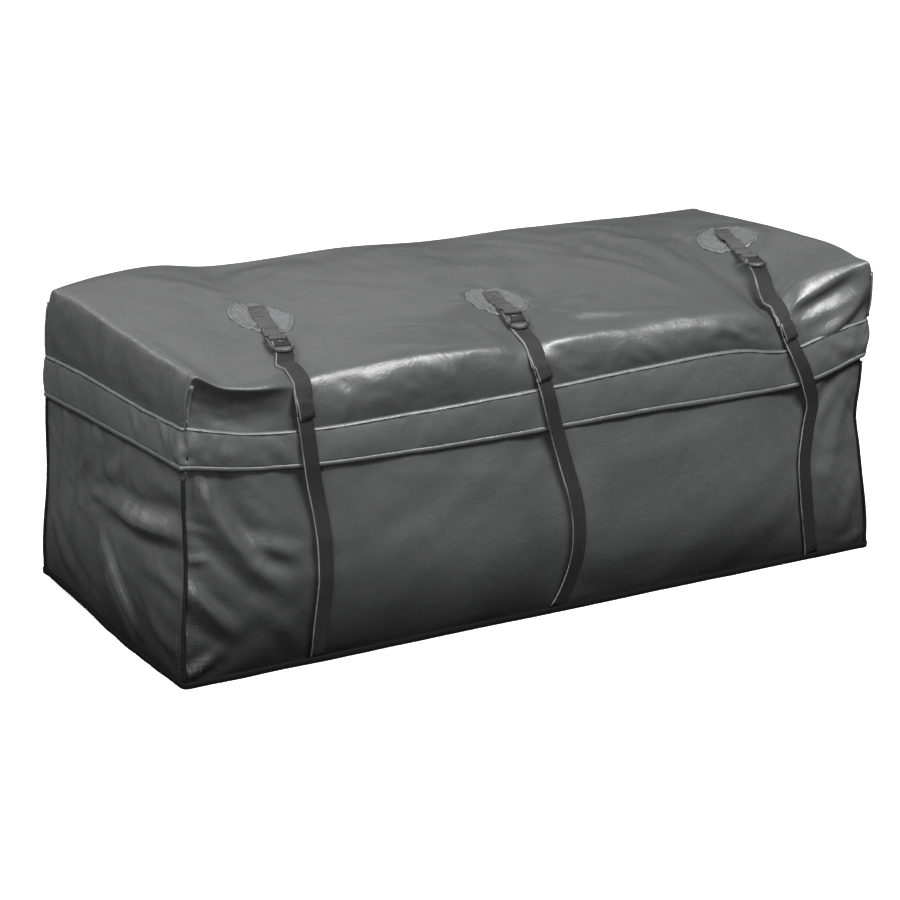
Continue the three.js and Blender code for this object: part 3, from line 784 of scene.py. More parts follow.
def make_lid():
    shell = Shell(171, 66)
    spread = 1.25
    xs = np.sin(np.linspace(-1, 1, shell.nx) * spread) / sin(spread) * LID_X
    ys = np.sin(np.linspace(-1, 1, shell.ny) * spread) / sin(spread) * (BACK_Y - FRONT_Y) / 2
    px, py = np.meshgrid(xs, ys + (FRONT_Y + BACK_Y) / 2, indexing="ij")
    shift = line_z(px, FRONT_SHIFT)
    for n in (1, 2):
        shift = shift + 9 * MM * bump(px, strap_line_x(n, FRONT_Y), 45 * MM)
    moved = py + shift * smooth(FRONT_Y + 0.1 - py, 0, 0.1)
    gap_y = np.minimum(py - FRONT_Y, BACK_Y - py) + 4 * MM
    gap_x = LID_X - np.abs(px) + 4 * MM
    z = top_height(px, py) - edge_drop(gap_y, 17 * MM) - edge_drop(gap_x, 24 * MM) * smooth(gap_y, 0, 0.03)
    for n in STRAPS:
        z = z - 5 * MM * bump(px, strap_line_x(n, py), 30 * MM) * smooth(FRONT_Y + 0.075 - py, 0, 0.06)
    panel = np.stack([px, moved, z], -1)
    x0, y0, z0 = panel[shell.rim[:, 0], shell.rim[:, 1]].T

    def drawn_in(half_x, front, back):
        """The rim's points, drawn in to a rectangle."""
        x = np.where(np.abs(shell.u) > 0.999, np.sign(shell.u) * half_x, x0 * half_x / LID_X)
        return x, np.where(shell.v < -0.999, front, np.where(shell.v > 0.999, back, y0))

    on_front = shell.side == 0
    long_side = on_front | (shell.side == 2)
    at_back = np.where(long_side, shell.side == 2, smooth(shell.v, 0.75, 1.0))
    bottom = RIM_Z + 3.5 * MM
    seam = np.where(long_side, line_z(x0, SEAM_LINE), line_z(y0, END_SEAM)) - 3 * MM
    seam = seam * (1 - at_back) + (bottom + 15 * MM) * at_back
    along = np.where(long_side, x0, y0)
    seam_x, seam_y = drawn_in(RIM_X + 2 * MM, FRONT_Y - 6.5 * MM, BACK_Y)
    belly = np.where(on_front, line_z(x0, SKIRT_BELLY), 5 * MM)
    taut = 1 - 0.85 * smooth(x0, 0.5, 0.57) * on_front
    loops = []
    for level in np.linspace(0, 1, 14)[1:]:
        ease = sin(level * pi / 2) ** 0.8
        zz = z0 + (seam - z0) * level
        waves = 1.8 * MM * ripple(along, zz + shell.side, 0.12, 61, 1.3, 1.4)
        waves = (waves + 1.0 * MM * ripple(along, zz, 0.045, 62, 1.0, 1.5)) * sin(pi * level) ** 0.5
        stand = waves * taut + belly * sin(pi * level**0.8) + folds(x0, zz, SKIRT_FOLDS) * on_front
        x = x0 + (seam_x - x0) * ease + shell.out[:, 0] * stand
        y = y0 + (seam_y - y0) * ease + shell.out[:, 1] * stand
        loops.append(dent(at_height(x, y, zz)))
    tuck_x, tuck_y = drawn_in(RIM_X, RIM_FRONT_Y, RIM_BACK_Y)
    for level in (0.3, 0.65, 1.0):
        lap = smooth(level, 0, 0.8)
        x, y = seam_x + (tuck_x - seam_x) * lap, seam_y + (tuck_y - seam_y) * lap
        loops.append(dent(at_height(x, y, seam + (bottom - seam) * level)))
    return shell.build("lid", dent(panel), loops, VINYL), shell, np.array(loops)


# ---- storm flap ----


FLAP_FOLDS = [
    # distance past the near corner, z three times, height, width
    (-82, 438, -62, 420, -30, 392, 6, 7),
    (-46, 436, -30, 412, -8, 386, 6, 6),
    (-16, 432, -10, 410, -12, 384, 4, 5),
    (14, 428, 24, 408, 20, 380, 4, 6),
    (52, 415, 60, 395, 88, 372, 3, 7),
    (-190, 432, -170, 410, -150, 380, 3, 9),
    (150, 400, 170, 375, 200, 350, 2.5, 10),
    (1290, 420, 1330, 395, 1375, 390, 4, 9),
]


# shares of the way from the flap's seam to its hem
FLAP_LEVELS = (0.0, 0.05, 0.07, 0.12, 0.25, 0.4, 0.55, 0.7, 0.82, 0.88, 0.9, 0.92, 0.935, 0.955, 0.98, 1.0)
STITCHED_LEVELS = (0.07, 0.9)


def round_the_bag(half_x, front_y, end_y, corner=14 * MM, step=7 * MM):
    """Points (x, y) and outward directions from the left end, round the front, to the right end."""
    route = [(-half_x, y, -1, 0) for y in np.arange(end_y, front_y + corner, -step)]
    turns = np.linspace(0, pi / 2, 7)
    cx, cy = half_x - corner, front_y + corner
    route += [(-cx - corner * cos(a), cy - corner * sin(a), -cos(a), -sin(a)) for a in turns]
    route += [(x, front_y, 0, -1) for x in np.arange(-cx + step, cx, step)]
    route += [(cx + corner * cos(a), cy - corner * sin(a), cos(a), -sin(a)) for a in turns[::-1]]
    route += [(half_x, y, 1, 0) for y in np.arange(cy + step, end_y + step / 2, step)]
    return np.array(route).T


def make_flap():
    """A band round the left end, the front and the right end, sewn on at its top and free at its hem."""
    half = FLAP_SIDE - 3 * MM
    front = FLAP_LOW.y + 3 * MM
    x, y, ox, oy = round_the_bag(half, front, BACK_Y - 4 * MM)
    run = run_along(np.stack([x, y], 1))
    on_front = np.abs(oy) > 0.7
    top = np.where(on_front, line_z(x, SEAM_LINE), line_z(y, END_SEAM))
    hem = np.where(on_front, line_z(x, HEM_LINE), line_z(y, END_HEM))
    corner_near = bump(np.hypot(np.abs(x) - half, y - front), 0, 0.09)
    corner_run = run[np.argmin(np.hypot(x + half, y - front))]
    straps = sum(bump(x, HEM_X[n], 26 * MM) for n in STRAPS) * on_front
    rows, seams = [], []
    for level in FLAP_LEVELS:
        z = top + (hem - top) * level
        roll = 1.6 * MM * (0.93 < level < 0.99)
        stitched = 0.8 * MM * (level in STITCHED_LEVELS)
        tuck = -2.5 * MM * (1 - level) ** 2 if level else -6 * MM
        small = 1.1 * MM * ripple(run, z, 0.035, 72, 1, 0.7) * (0.4 + 2 * corner_near)
        wave = 1.6 * MM * ripple(run, z * 0.6, 0.11, 71) + small
        wave = wave * (0.25 + 0.75 * sin(pi * min(level, 0.9)))
        belly = (2.4 * MM - 3.0 * MM * straps) * sin(pi * level)
        gathers = 0.8 * MM * ripple(run, z, 0.022, 73, 1, 1.57) * exp(-level / 0.25) * (level > 0.06)
        creases = folds(run - corner_run, z, FLAP_FOLDS) * smooth(level, 0.05, 0.2)
        stand = tuck + roll + belly + wave + gathers + creases - stitched
        stand = stand - 5 * MM * level * smooth(-x, 0.47, 0.53) * on_front
        row = dent(at_height(x + ox * stand, y + oy * stand, z))
        rows.append(row)
        if stitched:
            seams.append(row)
    flap = sheet("storm_flap", rows, LIGHTER_FLAP_VINYL)
    return thicken(flap, 2.2 * MM, -1, 1), seams, rows[1], np.stack([ox, oy, 0 * ox], 1)


# ---- seams, piping and stitches ----


class Surface:
    """The outside of the tub, flap and lid, for laying straps on."""

    def __init__(self, *objects):
        vertices, faces = [], []
        for o in objects:
            start = len(vertices)
            vertices += [o.matrix_world @ v.co for v in o.data.vertices]
            faces += [[start + k for k in p.vertices] for p in o.data.polygons]
        self.tree = BVHTree.FromPolygons(vertices, faces)

    def reach(self, origin, direction, across, half=WEB / 2):
        """How far a strap's flat underside gets along direction before it touches."""
        starts = [Vector(origin) + across * t for t in np.linspace(-half, half, 7)]
        found = [self.tree.ray_cast(start, direction)[3] for start in starts]
        return min((d for d in found if d is not None), default=None)

    def height(self, x, y, across=X_AXIS, half=WEB / 2):
        return ABOVE - self.reach((x, y, ABOVE), -UP, across, half)


def stitches(name, path, outs, pitch=7 * MM, length=4.6 * MM, radius=0.55 * MM):
    """A row of short thread stitches lying on a path. outs is the way off the fabric at each path point."""
    path, outs = np.array(path, float), np.array(outs, float)
    run = run_along(path)
    vertices, faces = [], []
    for start in np.arange(pitch / 2, run[-1] - length, pitch):
        ends = []
        for at in (start, start + length / 2, start + length):
            o = between(at, run, outs)
            ends.append((between(at, run, path), o / np.linalg.norm(o)))
        tangent = ends[2][0] - ends[0][0]
        tangent /= np.linalg.norm(tangent)
        side = np.cross(tangent, ends[1][1])
        first = len(vertices)
        for k, (p, o) in enumerate(ends):
            size = radius if k == 1 else radius * 0.55
            lifted = p + o * (radius * 0.55 if k == 1 else 0)
            for t in range(6):
                turn = t * pi / 3
                vertices.append(lifted + size * (cos(turn) * side + sin(turn) * o))
        faces += quad_rows(3, 6, closed=True, start=first)
        faces.append(tuple(first + t for t in reversed(range(6))))
        faces.append(tuple(first + 12 + t for t in range(6)))
    return new_object(name, vertices, faces, THREAD)


def corner_index(shell, u, v):
    return int(np.argmin(np.abs(shell.u - u) + np.abs(shell.v - v)))


CORNERS = {"front_left": (-1, -1), "front_right": (1, -1), "back_left": (-1, 1), "back_right": (1, 1)}


def pipe_corner(kind, name, path, outline, body, material):
    u, v = CORNERS[name]
    piping = sweep(f"{kind}_piping_{name}", path, outline, Vector((u, -v, 0)).normalized(), material)
    settle(piping, body, [f"{kind}_seam_{name}"])


def add_corner_seams():
    for name, (u, v) in CORNERS.items():
        k = corner_index(tub_shell, u, v)
        path = tub_loops[1:-3, k] + np.array([u, v, 0]) * 1.2 * MM
        pipe_corner("corner", name, path, round_outline(3.4 * MM, 12, 0.8), "bag", TRIM)
        for i, m in enumerate((k - 3, (k + 3) % tub_shell.size)):
            line = tub_loops[2:-3, m]
            outs = np.tile([*tub_shell.out[m], 0], (len(line), 1))
            settle(stitches(f"corner_stitches_{name}_{i + 1}", line, outs), "bag")


def add_base_binding():
    half_x, half_y, corner = HALF_X + 3.5 * MM, HALF_Y + 5 * MM, 9 * MM
    route = []
    for cx, cy, start in ((-1, -1, pi), (1, -1, 1.5 * pi), (1, 1, 0), (-1, 1, 0.5 * pi)):
        for a in np.linspace(start, start + pi / 2, 6):
            middle_x, middle_y = cx * (half_x - corner), cy * (half_y - corner)
            route.append((middle_x + corner * cos(a), middle_y + corner * sin(a)))
    ring = []
    for p, q in zip(route, route[1:] + route[:1]):
        count = max(1, int(hypot(q[0] - p[0], q[1] - p[1]) / (12 * MM)))
        ring += [(p[0] + (q[0] - p[0]) * k / count, p[1] + (q[1] - p[1]) * k / count) for k in range(count)]
    ring = np.array(ring)
    wave = 0.9 * MM * ripple(ring[:, 0], ring[:, 1], 0.1, 81)
    scale = 1 + np.stack([wave, wave], 1) / np.maximum(np.abs(ring), 0.1) * (np.abs(ring) > 0.2)
    points = dent(at_height(*(ring * scale).T, 5.6 * MM))
    low = [(-5.2, -2.2), (-4.2, -3.0), (3.6, -3.2), (5.0, -2.2)]
    outline = [*low, (5.4, 0), *[(a, -b) for a, b in reversed(low)]]
    outline = [(a * MM, b * MM) for a, b in outline]
    binding = sweep("base_binding", points, outline, UP, BINDING, closed=True)
    settle(binding, "bag", [f"base_binding_{side}" for side in ("front", "back", "left", "right")])


def add_lid_trim():
    lid_skin = Surface(lid).tree
    for name, (u, v) in CORNERS.items():
        k = corner_index(lid_shell, u, v)
        corner = Vector((u, v, 0)) * 0.5 * MM
        path = [lid_skin.find_nearest(Vector(p))[0] + corner for p in lid_loops[1:-4, k]]
        # the lid's corner strips take the lighter vinyl, a painted highlight along the folded corners
        pipe_corner("lid", name, path, round_outline(5.5 * MM, 16, 0.45), "lid", HIGHLIGHT_VINYL)
    # painted shade: a dark cord along the flap's top gives the shade line in the seam under the skirt
    cord = flap_top + flap_out * 0.6 * MM
    settle(sweep("flap_seam_shade_cord", cord, round_outline(1.5 * MM, 8), UP, TRIM), "lid")
    for i, line in enumerate(flap_seams):
        row = stitches(f"flap_stitches_{i + 1}", line + flap_out * 0.2 * MM, flap_out)
        settle(row, "lid")


def add_hinge():
    xs = np.arange(-RIM_X + 4 * MM, RIM_X - 4 * MM, 8 * MM)
    rows = []
    for z in np.linspace(RIM_Z - 15 * MM, RIM_Z + 19 * MM, 13):
        stand = 2.1 * MM + 0.5 * MM * ripple(xs, z, 0.06, 83) + 1.1 * MM * bump(z, RIM_Z, 5 * MM)
        rows.append(at_height(xs, RIM_BACK_Y + stand, z))
    strip = thicken(sheet("hinge_strip", rows, TRIM), 1.4 * MM, 1)
    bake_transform(strip)
    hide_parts("hinge_welt")


TOOTH_PITCH = 3.2 * MM
ZIP_HALVES = (
    # side, body, then in millimetres from the rim: the tape's low and high edges and its teeth, and the first
    # tooth's place, in pitches
    ("lower", "bag", -17, -0.6, -1, 0.5),
    ("upper", "lid", 0.6, 17, 1, 1),
)


def zip_teeth(name, path, outs, first):
    """Moulded teeth along a tape's edge, each a waisted block. first is the first one's place, in pitches."""
    run = run_along(path)
    vertices, faces = [], []
    for at in np.arange(TOOTH_PITCH * first, run[-1], TOOTH_PITCH):
        p, o = between(at, run, path), between(at, run, outs)
        t = np.array([-o[1], o[0], 0])
        start = len(vertices)
        for dz, wide, tall in ((-1.4, 0.5, 0.6), (-0.9, 0.75, 1.1), (0.9, 0.75, 1.1), (1.4, 0.5, 0.6)):
            for a, b in ((-1, -1), (1, -1), (1, 1), (-1, 1)):
                vertices.append(p + (t * a * wide + o * b * tall + np.array([0, 0, dz])) * MM)
        faces += quad_rows(4, 4, closed=True, start=start)
        faces += [(start + 3, start + 2, start + 1, start), (start + 12, start + 13, start + 14, start + 15)]
    return new_object(name, vertices, faces, COIL, shade=False)


def add_zip():
    """Tapes and teeth on the tub's rim and the lid's, under the flap."""
    x, y, ox, oy = round_the_bag(TAPE_HIGH.x - 0.4 * MM, TAPE_LOW.y + 0.4 * MM, TAPE_HIGH.y, 5 * MM, 6 * MM)
    outs = at_height(ox, oy, 0)
    for side, body, low, high, edge, first in ZIP_HALVES:
        rows = []
        for z in (low, low + 1, (low + high) / 2, high - 1, high):
            stand = 0.3 * MM if z in (low, high) else 0
            rows.append(dent(at_height(x + ox * stand, y + oy * stand, RIM_Z + z * MM)))
        tape = thicken(sheet(f"zip_tape_{side}_cloth", rows, TRIM), 0.8 * MM, 0)
        settle(tape, body, [f"zip_tape_{side}"])
        path = dent(at_height(x + ox * 1.3 * MM, y + oy * 1.3 * MM, RIM_Z + edge * MM))
        settle(zip_teeth(f"zip_teeth_{side}", path, outs, first), body, [f"zip_coil_{side}"])
    for side in ("left", "right"):
        for node in (f"zip_slider_{side}", f"zip_pull_{side}"):
            carried = frame["nodes"][node]
            carried.data.materials.clear()
            carried.data.materials.append(METAL)


# ---- straps, buckles and patches ----


FRONT_X = {
    # strap: (z, x) in millimetres from the foot to the lid's edge
    1: [(0, -462), (57, -459), (144, -451), (249, -455), (350, -472), (420, -480), (490, -485)],
    2: [(0, 6), (22, 19), (92, 40), (183, 42), (278, 20), (350, 0), (420, -18), (490, -33)],
    3: [(0, 576), (38, 568), (117, 555), (195, 548), (250, 555), (300, 562), (345, 545), (420, 512),
        (490, 501)],
}
LEANING = Vector((1, 0.09, 0)).normalized()  # across a strap where it hangs down the front
FOOT_Z = 9 * MM
HANGS_BELOW = 0.46  # a strap lies across the front below this, and along the lid above it
SPLIT_Z = 0.43
TAIL_END_Z = 0.421
LAYER = 2.1 * MM
BUCKLE_REACH = 66 * MM


def tighten(origins, directions, reach, rounds=40):
    """A pulled strap: each point lies on the surface or stands clear of it, in line with its neighbours."""
    reach = np.array(reach)
    for _ in range(rounds):
        points = origins + directions * reach[:, None]
        middle = (points[:-2] + points[2:]) / 2
        straight = np.einsum("ij,ij->i", middle - origins[1:-1], directions[1:-1])
        reach[1:-1] = np.minimum(reach[1:-1], straight)
    return origins + directions * reach[:, None]


def strap_line(n, surface):
    """Points under the strap's middle from its foot to the buckle, and the way down the lid's top. The rays
    that find the surface go into the front, then turn about a line inside the lid's edge, then go down."""
    pivot, patch = BUCKLE_PIVOT[n], PATCH_AT[n]
    down = Vector((pivot.x - patch.x, pivot.y - patch.y, 0)).normalized()
    slant = -down.x / down.y * 0.02
    rays = []
    for z in np.arange(FOOT_Z, 0.452, 7 * MM):
        rays.append(((line_z(z, FRONT_X[n]), -0.36, z), (0, 1, 0)))
    edge_x, edge_y = line_z(0.47, FRONT_X[n]), FRONT_Y + 45 * MM
    core = np.array([edge_x, edge_y, 0.435])
    for turn in np.linspace(0.28, pi / 2, 9)[:-1]:
        away = np.array([0, -cos(turn), sin(turn)])
        rays.append((core + away * 0.15 - np.array([slant * sin(turn), 0, 0]), -away))
    start = Vector((edge_x - down.x / down.y * 0.02, edge_y, 0.62))
    stop = pivot + down * 50 * MM
    stop.z = start.z
    for t in np.linspace(0, 1, max(3, int((stop - start).length / (8 * MM)))):
        rays.append((start.lerp(stop, t), (0, 0, -1)))
    across = Vector((-down.y, down.x, 0))
    reach = []
    for origin, direction in rays:
        side, clear = (X_AXIS, 2.2 * MM) if direction[1] == 1 else (across, 0.8 * MM)
        reach.append(surface.reach(origin, Vector(direction), side) - STRAP_THICK / 2 - clear)
    origins, directions = (np.array([list(v) for v in column]) for column in zip(*rays))
    return [Vector(p) for p in tighten(origins, directions, reach)], down


def buckle_frame(n, surface, down):
    """The pivot, the way along the strap and the way off the lid, for buckle n at rest."""
    pivot = BUCKLE_PIVOT[n]
    ahead = pivot + down * 60 * MM
    drop = surface.height(ahead.x, ahead.y, BUCKLE_AXIS[n], 10 * MM) + BUCKLE_RISE - 1 * MM - pivot.z
    along = (down * 60 * MM + Vector((0, 0, min(drop, 0)))).normalized()
    across = BUCKLE_AXIS[n]
    if across.x < 0:
        across = -across
    return pivot, along, across, across.cross(-along).normalized()


def plate(name, outline, holes, depth, round_by, material):
    """A flat part with rounded edges, from a closed outline and holes in millimetres."""
    curve = bpy.data.curves.new(name, "CURVE")
    curve.dimensions = "2D"
    curve.fill_mode = "BOTH"
    for loop in (outline, *holes):
        spline = curve.splines.new("POLY")
        spline.points.add(len(loop) - 1)
        for point, (a, b) in zip(spline.points, loop):
            point.co = (a * MM, b * MM, 0, 1)
        spline.use_cyclic_u = True
    curve.extrude = depth / 2 * MM - round_by * MM
    curve.bevel_depth = round_by * MM
    curve.bevel_resolution = 3
    curve.offset = -round_by * MM
    made = linked(name, curve)
    mesh = bpy.data.meshes.new_from_object(made.evaluated_get(bpy.context.evaluated_depsgraph_get()))
    bpy.data.objects.remove(made)
    mesh.materials.clear()
    mesh.materials.append(material)
    shade_smooth(mesh)
    return linked(name, mesh)


def joined(name, parts):
    """One object from several, with each part's place kept."""
    whole = bmesh.new()
    materials = list(dict.fromkeys(part.data.materials[0] for part in parts))
    for part in parts:
        before = len(whole.faces)
        mesh = part.data.copy()
        mesh.transform(part.matrix_world)
        whole.from_mesh(mesh)
        whole.faces.ensure_lookup_table()
        for f in whole.faces[before:]:
            f.material_index = materials.index(part.data.materials[0])
        bpy.data.objects.remove(part)
    mesh = bpy.data.meshes.new(name)
    whole.to_mesh(mesh)
    whole.free()
    for m in materials:
        mesh.materials.append(m)
    return linked(name, mesh)


# a buckle's plan in millimetres from its pivot: half widths, the slots' and bars' places, and the thumb edge
BUCKLE_HALF, SLOT_HALF = 19.0, 15.8
SLOTS = ((2.6, 9.6), (14.4, 19.6), (25.0, 30.6))
BARS_AT = (0.0, -12.0, -22.3)
THUMB_START, THUMB_END = 34.0, 50.0


def thumb_curve(half, start, length, steps):
    return [(half * cos(t), -start - length * sin(t) ** 0.8) for t in np.linspace(0, pi, steps)]


def ladder_lock(name):
    """A ladder-lock buckle in its own frame: X along the bars, -Y down the strap, its pivot at the origin."""
    half, slot = BUCKLE_HALF, SLOT_HALF
    tip = thumb_curve(half, THUMB_START, THUMB_END - THUMB_START, 21)
    outline = [(-half + 1.5, 2.6), (half - 1.5, 2.6), (half, 1.2), *tip, (-half, 1.2)]
    holes = [[(-slot, -a), (-slot, -b), (slot, -b), (slot, -a)] for a, b in SLOTS]
    parts = [plate(name, outline, holes, 3.6, 0.8, PLASTIC)]
    # the side rails and the thumb grip take the lighter plastic, a painted highlight on the buckle's edges
    for side in (-1, 1):
        edge, inner = side * (half + 0.2), side * (half - 2.9)
        rail = [(edge, 2.0), (edge, -33), (inner, -33), (inner, 2.0)][::side]
        parts.append(plate(name, rail, [], 6.4, 1.2, LIT_PLASTIC))
    for at in BARS_AT:
        ends = [Vector((side * (slot + 2), at, 0.6)) * MM for side in (-1, 1)]
        parts.append(sweep(name, ends, round_outline(2.1 * MM, 14), Vector((0, 1, 0)), PLASTIC))
    grip = thumb_curve(half - 3.5, 35.5, 10.5, 17)
    parts.append(plate(name, grip, [], 6.0, 1.8, LIT_PLASTIC))
    return joined(name, parts)


def place(o, origin, x_axis, y_axis, z_axis):
    matrix = Matrix((x_axis, y_axis, z_axis)).transposed().to_4x4()
    o.data.transform(Matrix.Translation(origin) @ matrix)
    o.data.update()


def add_patch(n, surface):
    """A round sewn patch, puckered in pleats and rings."""
    centre = PATCH_AT[n]
    radius, turns, rings = 56 * MM, 120, 20
    phases = np.random.default_rng(90 + n).uniform(0, 2 * pi, 4)
    rows = []
    for r in np.linspace(0, radius, rings + 1)[1:]:
        row = []
        share = r / radius
        for a in 2 * pi * np.arange(turns) / turns:
            edge = r * (1 + 0.02 * sin(5 * a + phases[0]) + 0.012 * sin(11 * a + phases[1]))
            x, y = centre.x + edge * cos(a), centre.y + edge * sin(a)
            pleat = sin(17 * a + phases[2] + 2.5 * sin(3 * a)) * share * (1 - 0.75 * share**6)
            ring = sin(share * 17 + 1.2 * sin(2 * a + phases[3])) * 0.8 * smooth(share, 0.3, 0.6)
            rise = 2.1 + 2.2 * pleat + 2.0 * ring * (1 - share**8)
            rise += 3.4 * sin(pi * share) - 0.8 * share**12
            row.append((x, y, surface.height(x, y, half=0.5 * MM) + rise * MM))
        rows.append(row)
    vertices = [(centre.x, centre.y, surface.height(centre.x, centre.y, half=1 * MM) + 3 * MM)]
    vertices += [p for row in rows for p in row]
    faces = [(0, 1 + k, 1 + (k + 1) % turns) for k in range(turns)]
    faces += [tuple(reversed(f)) for f in quad_rows(rings, turns, closed=True, start=1)]
    patch = thicken(new_object(f"patch_cover_{n}", vertices, faces, HIGHLIGHT_VINYL), 1.6 * MM, -1)
    settle(patch, "lid", [f"patch_{n}"])
    line = [Vector(p) + 0.3 * MM * UP for p in rows[int(rings * 0.86)]]
    line.append(line[0])
    settle(stitches(f"patch_stitches_{n}", line, [UP] * len(line), 6 * MM, 4 * MM), "lid")
    return patch


def web_sweep(name, path, across, material=WEBBING):
    """Webbing along a path, with its texture's X across it."""
    outline = web_outline()
    made = sweep(name, path, outline, across, material)
    layer = made.data.uv_layers[0]
    for loop in made.data.loops:
        s = outline[loop.vertex_index % len(outline)][0]
        layer.data[loop.index].uv.x = (s + WEB / 2) / WEB
    return made


def add_anchor(n, top, pivot, along, across, up):
    """Short webbing sewn to the patch, looped round the buckle's rear bar and folded back on itself."""
    down = Vector((along.x, along.y, 0)).normalized()
    flat = PATCH_AT[n].xy.to_3d()
    reach = (pivot.xy.to_3d() - flat).length

    def on_top(s, rise, w=0):
        p = flat + down * s + across * w
        return Vector((p.x, p.y, top.height(p.x, p.y, across) + rise))

    path = [on_top(s, 1.2 * MM) for s in np.linspace(-30 * MM, reach - 15 * MM, 12)]
    loop = 3.9 * MM
    path.append(pivot - along * 6.5 * MM - up * (loop + 0.6 * MM))
    for t in np.linspace(-pi / 2, pi / 2, 9):
        path.append(pivot + along * loop * cos(t) + up * (loop * sin(t) + 0.6 * MM))
    path.append(pivot - along * 7 * MM + up * 2.6 * MM)
    path += [on_top(s, 1.2 * MM + LAYER) for s in np.linspace(reach - 17 * MM, reach - 40 * MM, 4)]
    webbing = web_sweep(f"anchor_{n}", path, across, ANCHOR_WEBBING)
    settle(webbing, "lid", [f"anchor_webbing_{n}"])
    crossed_box = ((-26, -15), (-26, 15), (2, 15), (2, -15), (-26, -15), (2, 15), (2, -15), (-26, 15))
    box = [on_top(s * MM, 2.3 * MM, w * MM) for s, w in crossed_box]
    line = []
    for a, b in zip(box[:-1], box[1:]):
        line += [a.lerp(b, t) for t in np.linspace(0, 1, 6)[:-1]]
    line.append(box[-1])
    settle(stitches(f"anchor_stitches_{n}", line, [UP] * len(line), 4 * MM, 3 * MM), "lid")


# a strap's way through its buckle: (distance past the pivot, height over it) in millimetres
THREADED = ((50, -6.4), (38, -5.4), (24, -5.0), (19.5, -4.0), (17.2, -2), (16.9, 1.2), (18.4, 3.5),
            (22.3, 4.3), (26.2, 3.5), (27.9, 1.2), (28.2, -1.2), (30, -2.7), (36, -3.3), (48, -3.4))


def add_strap(n, surface):
    """A strap in two pieces: the foot, and the end that goes through the buckle and back to a free tail."""
    line, down = strap_line(n, surface)
    patch = add_patch(n, surface)
    bpy.context.view_layer.update()
    pivot, along, side, up = buckle_frame(n, surface, down)

    lock = ladder_lock(f"ladder_lock_{n}")
    place(lock, pivot, side, -along, up)
    settle(lock, f"buckle_{n}", [f"buckle_{n}"])
    add_anchor(n, Surface(lid, patch), pivot, along, side, up)

    flat = [p for p in line if (p - pivot).dot(along) > BUCKLE_REACH or p.z < 0.47]
    tail = []
    for i, p in enumerate(flat):
        if p.z > TAIL_END_Z:
            before, after = flat[max(i - 1, 0)], flat[min(i + 1, len(flat) - 1)]
            normal = (after - before).cross(X_AXIS).normalized()
            out = normal if normal.y < 0 or normal.z > 0.5 else -normal
            spread = 1 + 1.2 * smooth(p.z, 0.47, 0.42)
            tail.append(p + out * LAYER * spread + X_AXIS * 2.5 * MM * smooth(-p.z, -0.49, -0.42))
    tail.reverse()
    foot_part = [p for p in flat if p.z < SPLIT_Z]
    end_part = [p for p in flat if p.z >= SPLIT_Z - 8 * MM]
    foot = web_sweep(f"strap_foot_{n}", foot_part, LEANING)
    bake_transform(foot)
    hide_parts(f"strap_front_{n}", f"strap_over_flap_{n}")
    threaded = [pivot + along * p * MM + up * u * MM for p, u in THREADED]
    turned = [LEANING if p.z < HANGS_BELOW else side for p in end_part] + [side] * len(threaded)
    turned += [LEANING if p.z < HANGS_BELOW else side for p in tail]
    end = web_sweep(f"strap_end_web_{n}", end_part + threaded + tail, turned)
    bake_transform(end)
    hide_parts(f"strap_end_{n}", f"strap_tail_{n}")


# ---- camera, light and floor ----


# angles in degrees, fitted to the photo with the bag at its own size
AZIMUTH, ELEVATION, ROLL = -31.9, 17.85, 1.0
DISTANCE, TARGET = 5.142, Vector((-0.0378, 0, 0.2253))
LENS, SENSOR = 115.2, 36
LAMPS = (
    # (place, aimed at, size, watts)
    ((0.9, -2.3, 3.5), (0.1, 0, 0.3), (2.0, 0.9), 300),
    ((-2.7, -0.5, 2.9), (-0.5, 0, 0.3), (1.0, 1.0), 135),
    ((-3.3, -2.9, 1.8), (-0.4, -0.1, 0.25), (0.7, 1.0), 62),
    ((0.6, 3.4, 2.6), (0, 0, 0.4), (4.0, 1.0), 13),
    ((-1.9, 3.3, 2.6), (-0.5, 0, 0.4), (0.7, 0.7), 22),
    ((-2.3, -3.9, 0.8), (-0.5, -0.2, 0.25), (0.35, 0.9), 20),
)
# (share of the sky's height, brightness)
SKY = ((0.47, 0.01), (0.80, 0.26))


def add_camera():
    turn = Matrix.Rotation(radians(AZIMUTH), 3, "Z")
    turn = turn @ Matrix.Rotation(radians(90 - ELEVATION), 3, "X") @ Matrix.Rotation(radians(ROLL), 3, "Z")
    camera = linked("camera", bpy.data.cameras.new("camera"))
    camera.data.lens = LENS
    camera.data.sensor_width = SENSOR
    camera.matrix_world = Matrix.Translation(TARGET + turn.col[2] * DISTANCE) @ turn.to_4x4()
    bpy.context.scene.camera = camera


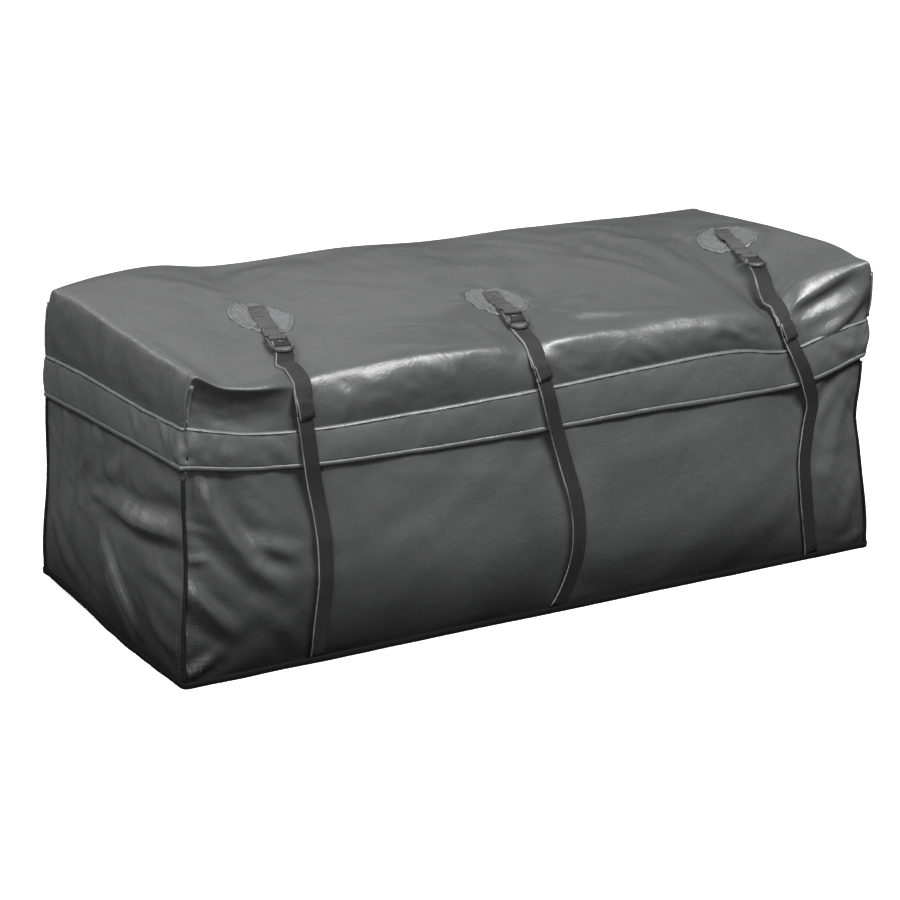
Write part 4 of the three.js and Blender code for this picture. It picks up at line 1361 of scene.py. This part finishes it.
def add_floor():
    bpy.ops.mesh.primitive_plane_add(size=60, location=(0, 0, -0.5 * MM))
    floor = bpy.context.object
    floor.name = "floor"
    floor.data.materials.append(floor_material())
    floor.visible_diffuse = False
    floor.visible_glossy = False


def add_sky():
    """Dark at the horizon and pale overhead."""
    world = bpy.data.worlds.new("studio")
    bpy.context.scene.world = world
    world.use_nodes = True
    tree = world.node_tree
    where = tree.nodes.new("ShaderNodeTexCoord")
    split = tree.nodes.new("ShaderNodeSeparateXYZ")
    ramp = tree.nodes.new("ShaderNodeValToRGB")
    for element, (position, level) in zip(ramp.color_ramp.elements, SKY):
        element.position = position
        element.color = (level, level, level, 1)
    half = tree.nodes.new("ShaderNodeMapRange")
    half.inputs["From Min"].default_value = -1
    tree.links.new(where.outputs["Generated"], split.inputs["Vector"])
    tree.links.new(split.outputs["Z"], half.inputs["Value"])
    tree.links.new(half.outputs["Result"], ramp.inputs["Fac"])
    tree.links.new(ramp.outputs["Color"], tree.nodes["Background"].inputs["Color"])


def add_lamps():
    for i, (where, aim, size, watts) in enumerate(LAMPS):
        data = bpy.data.lights.new(f"softbox_{i}", "AREA")
        data.shape = "RECTANGLE"
        data.size, data.size_y = size
        data.energy = watts
        lamp = linked(f"softbox_{i}", data)
        lamp.location = where
        lamp.rotation_euler = (Vector(aim) - Vector(where)).to_track_quat("-Z", "Y").to_euler()


# ---- build ----

add_camera()
add_floor()
add_sky()
add_lamps()
bpy.context.scene.view_settings.view_transform = "Standard"

tub, tub_shell, tub_loops = make_tub()
thicken(tub, 2.0 * MM, -1)
panels = [f"{where}_panel" for where in ("bottom", "front", "back", "left_end", "right_end")]
settle(tub, "bag", panels)

lid, lid_shell, lid_loops = make_lid()
thicken(lid, 2.0 * MM, -1, 1)
skirts = [f"lid_{side}_skirt" for side in ("front", "back", "left", "right")]
settle(lid, "lid", ["lid_top", *skirts])

flap, flap_seams, flap_top, flap_out = make_flap()
settle(flap, "lid", ["storm_flap_front", "storm_flap_left", "storm_flap_right"])
bpy.context.view_layer.update()
add_corner_seams()
add_base_binding()
add_lid_trim()
add_hinge()
add_zip()
outside = Surface(tub, lid, flap)
for number in STRAPS:
    add_strap(number, outside)
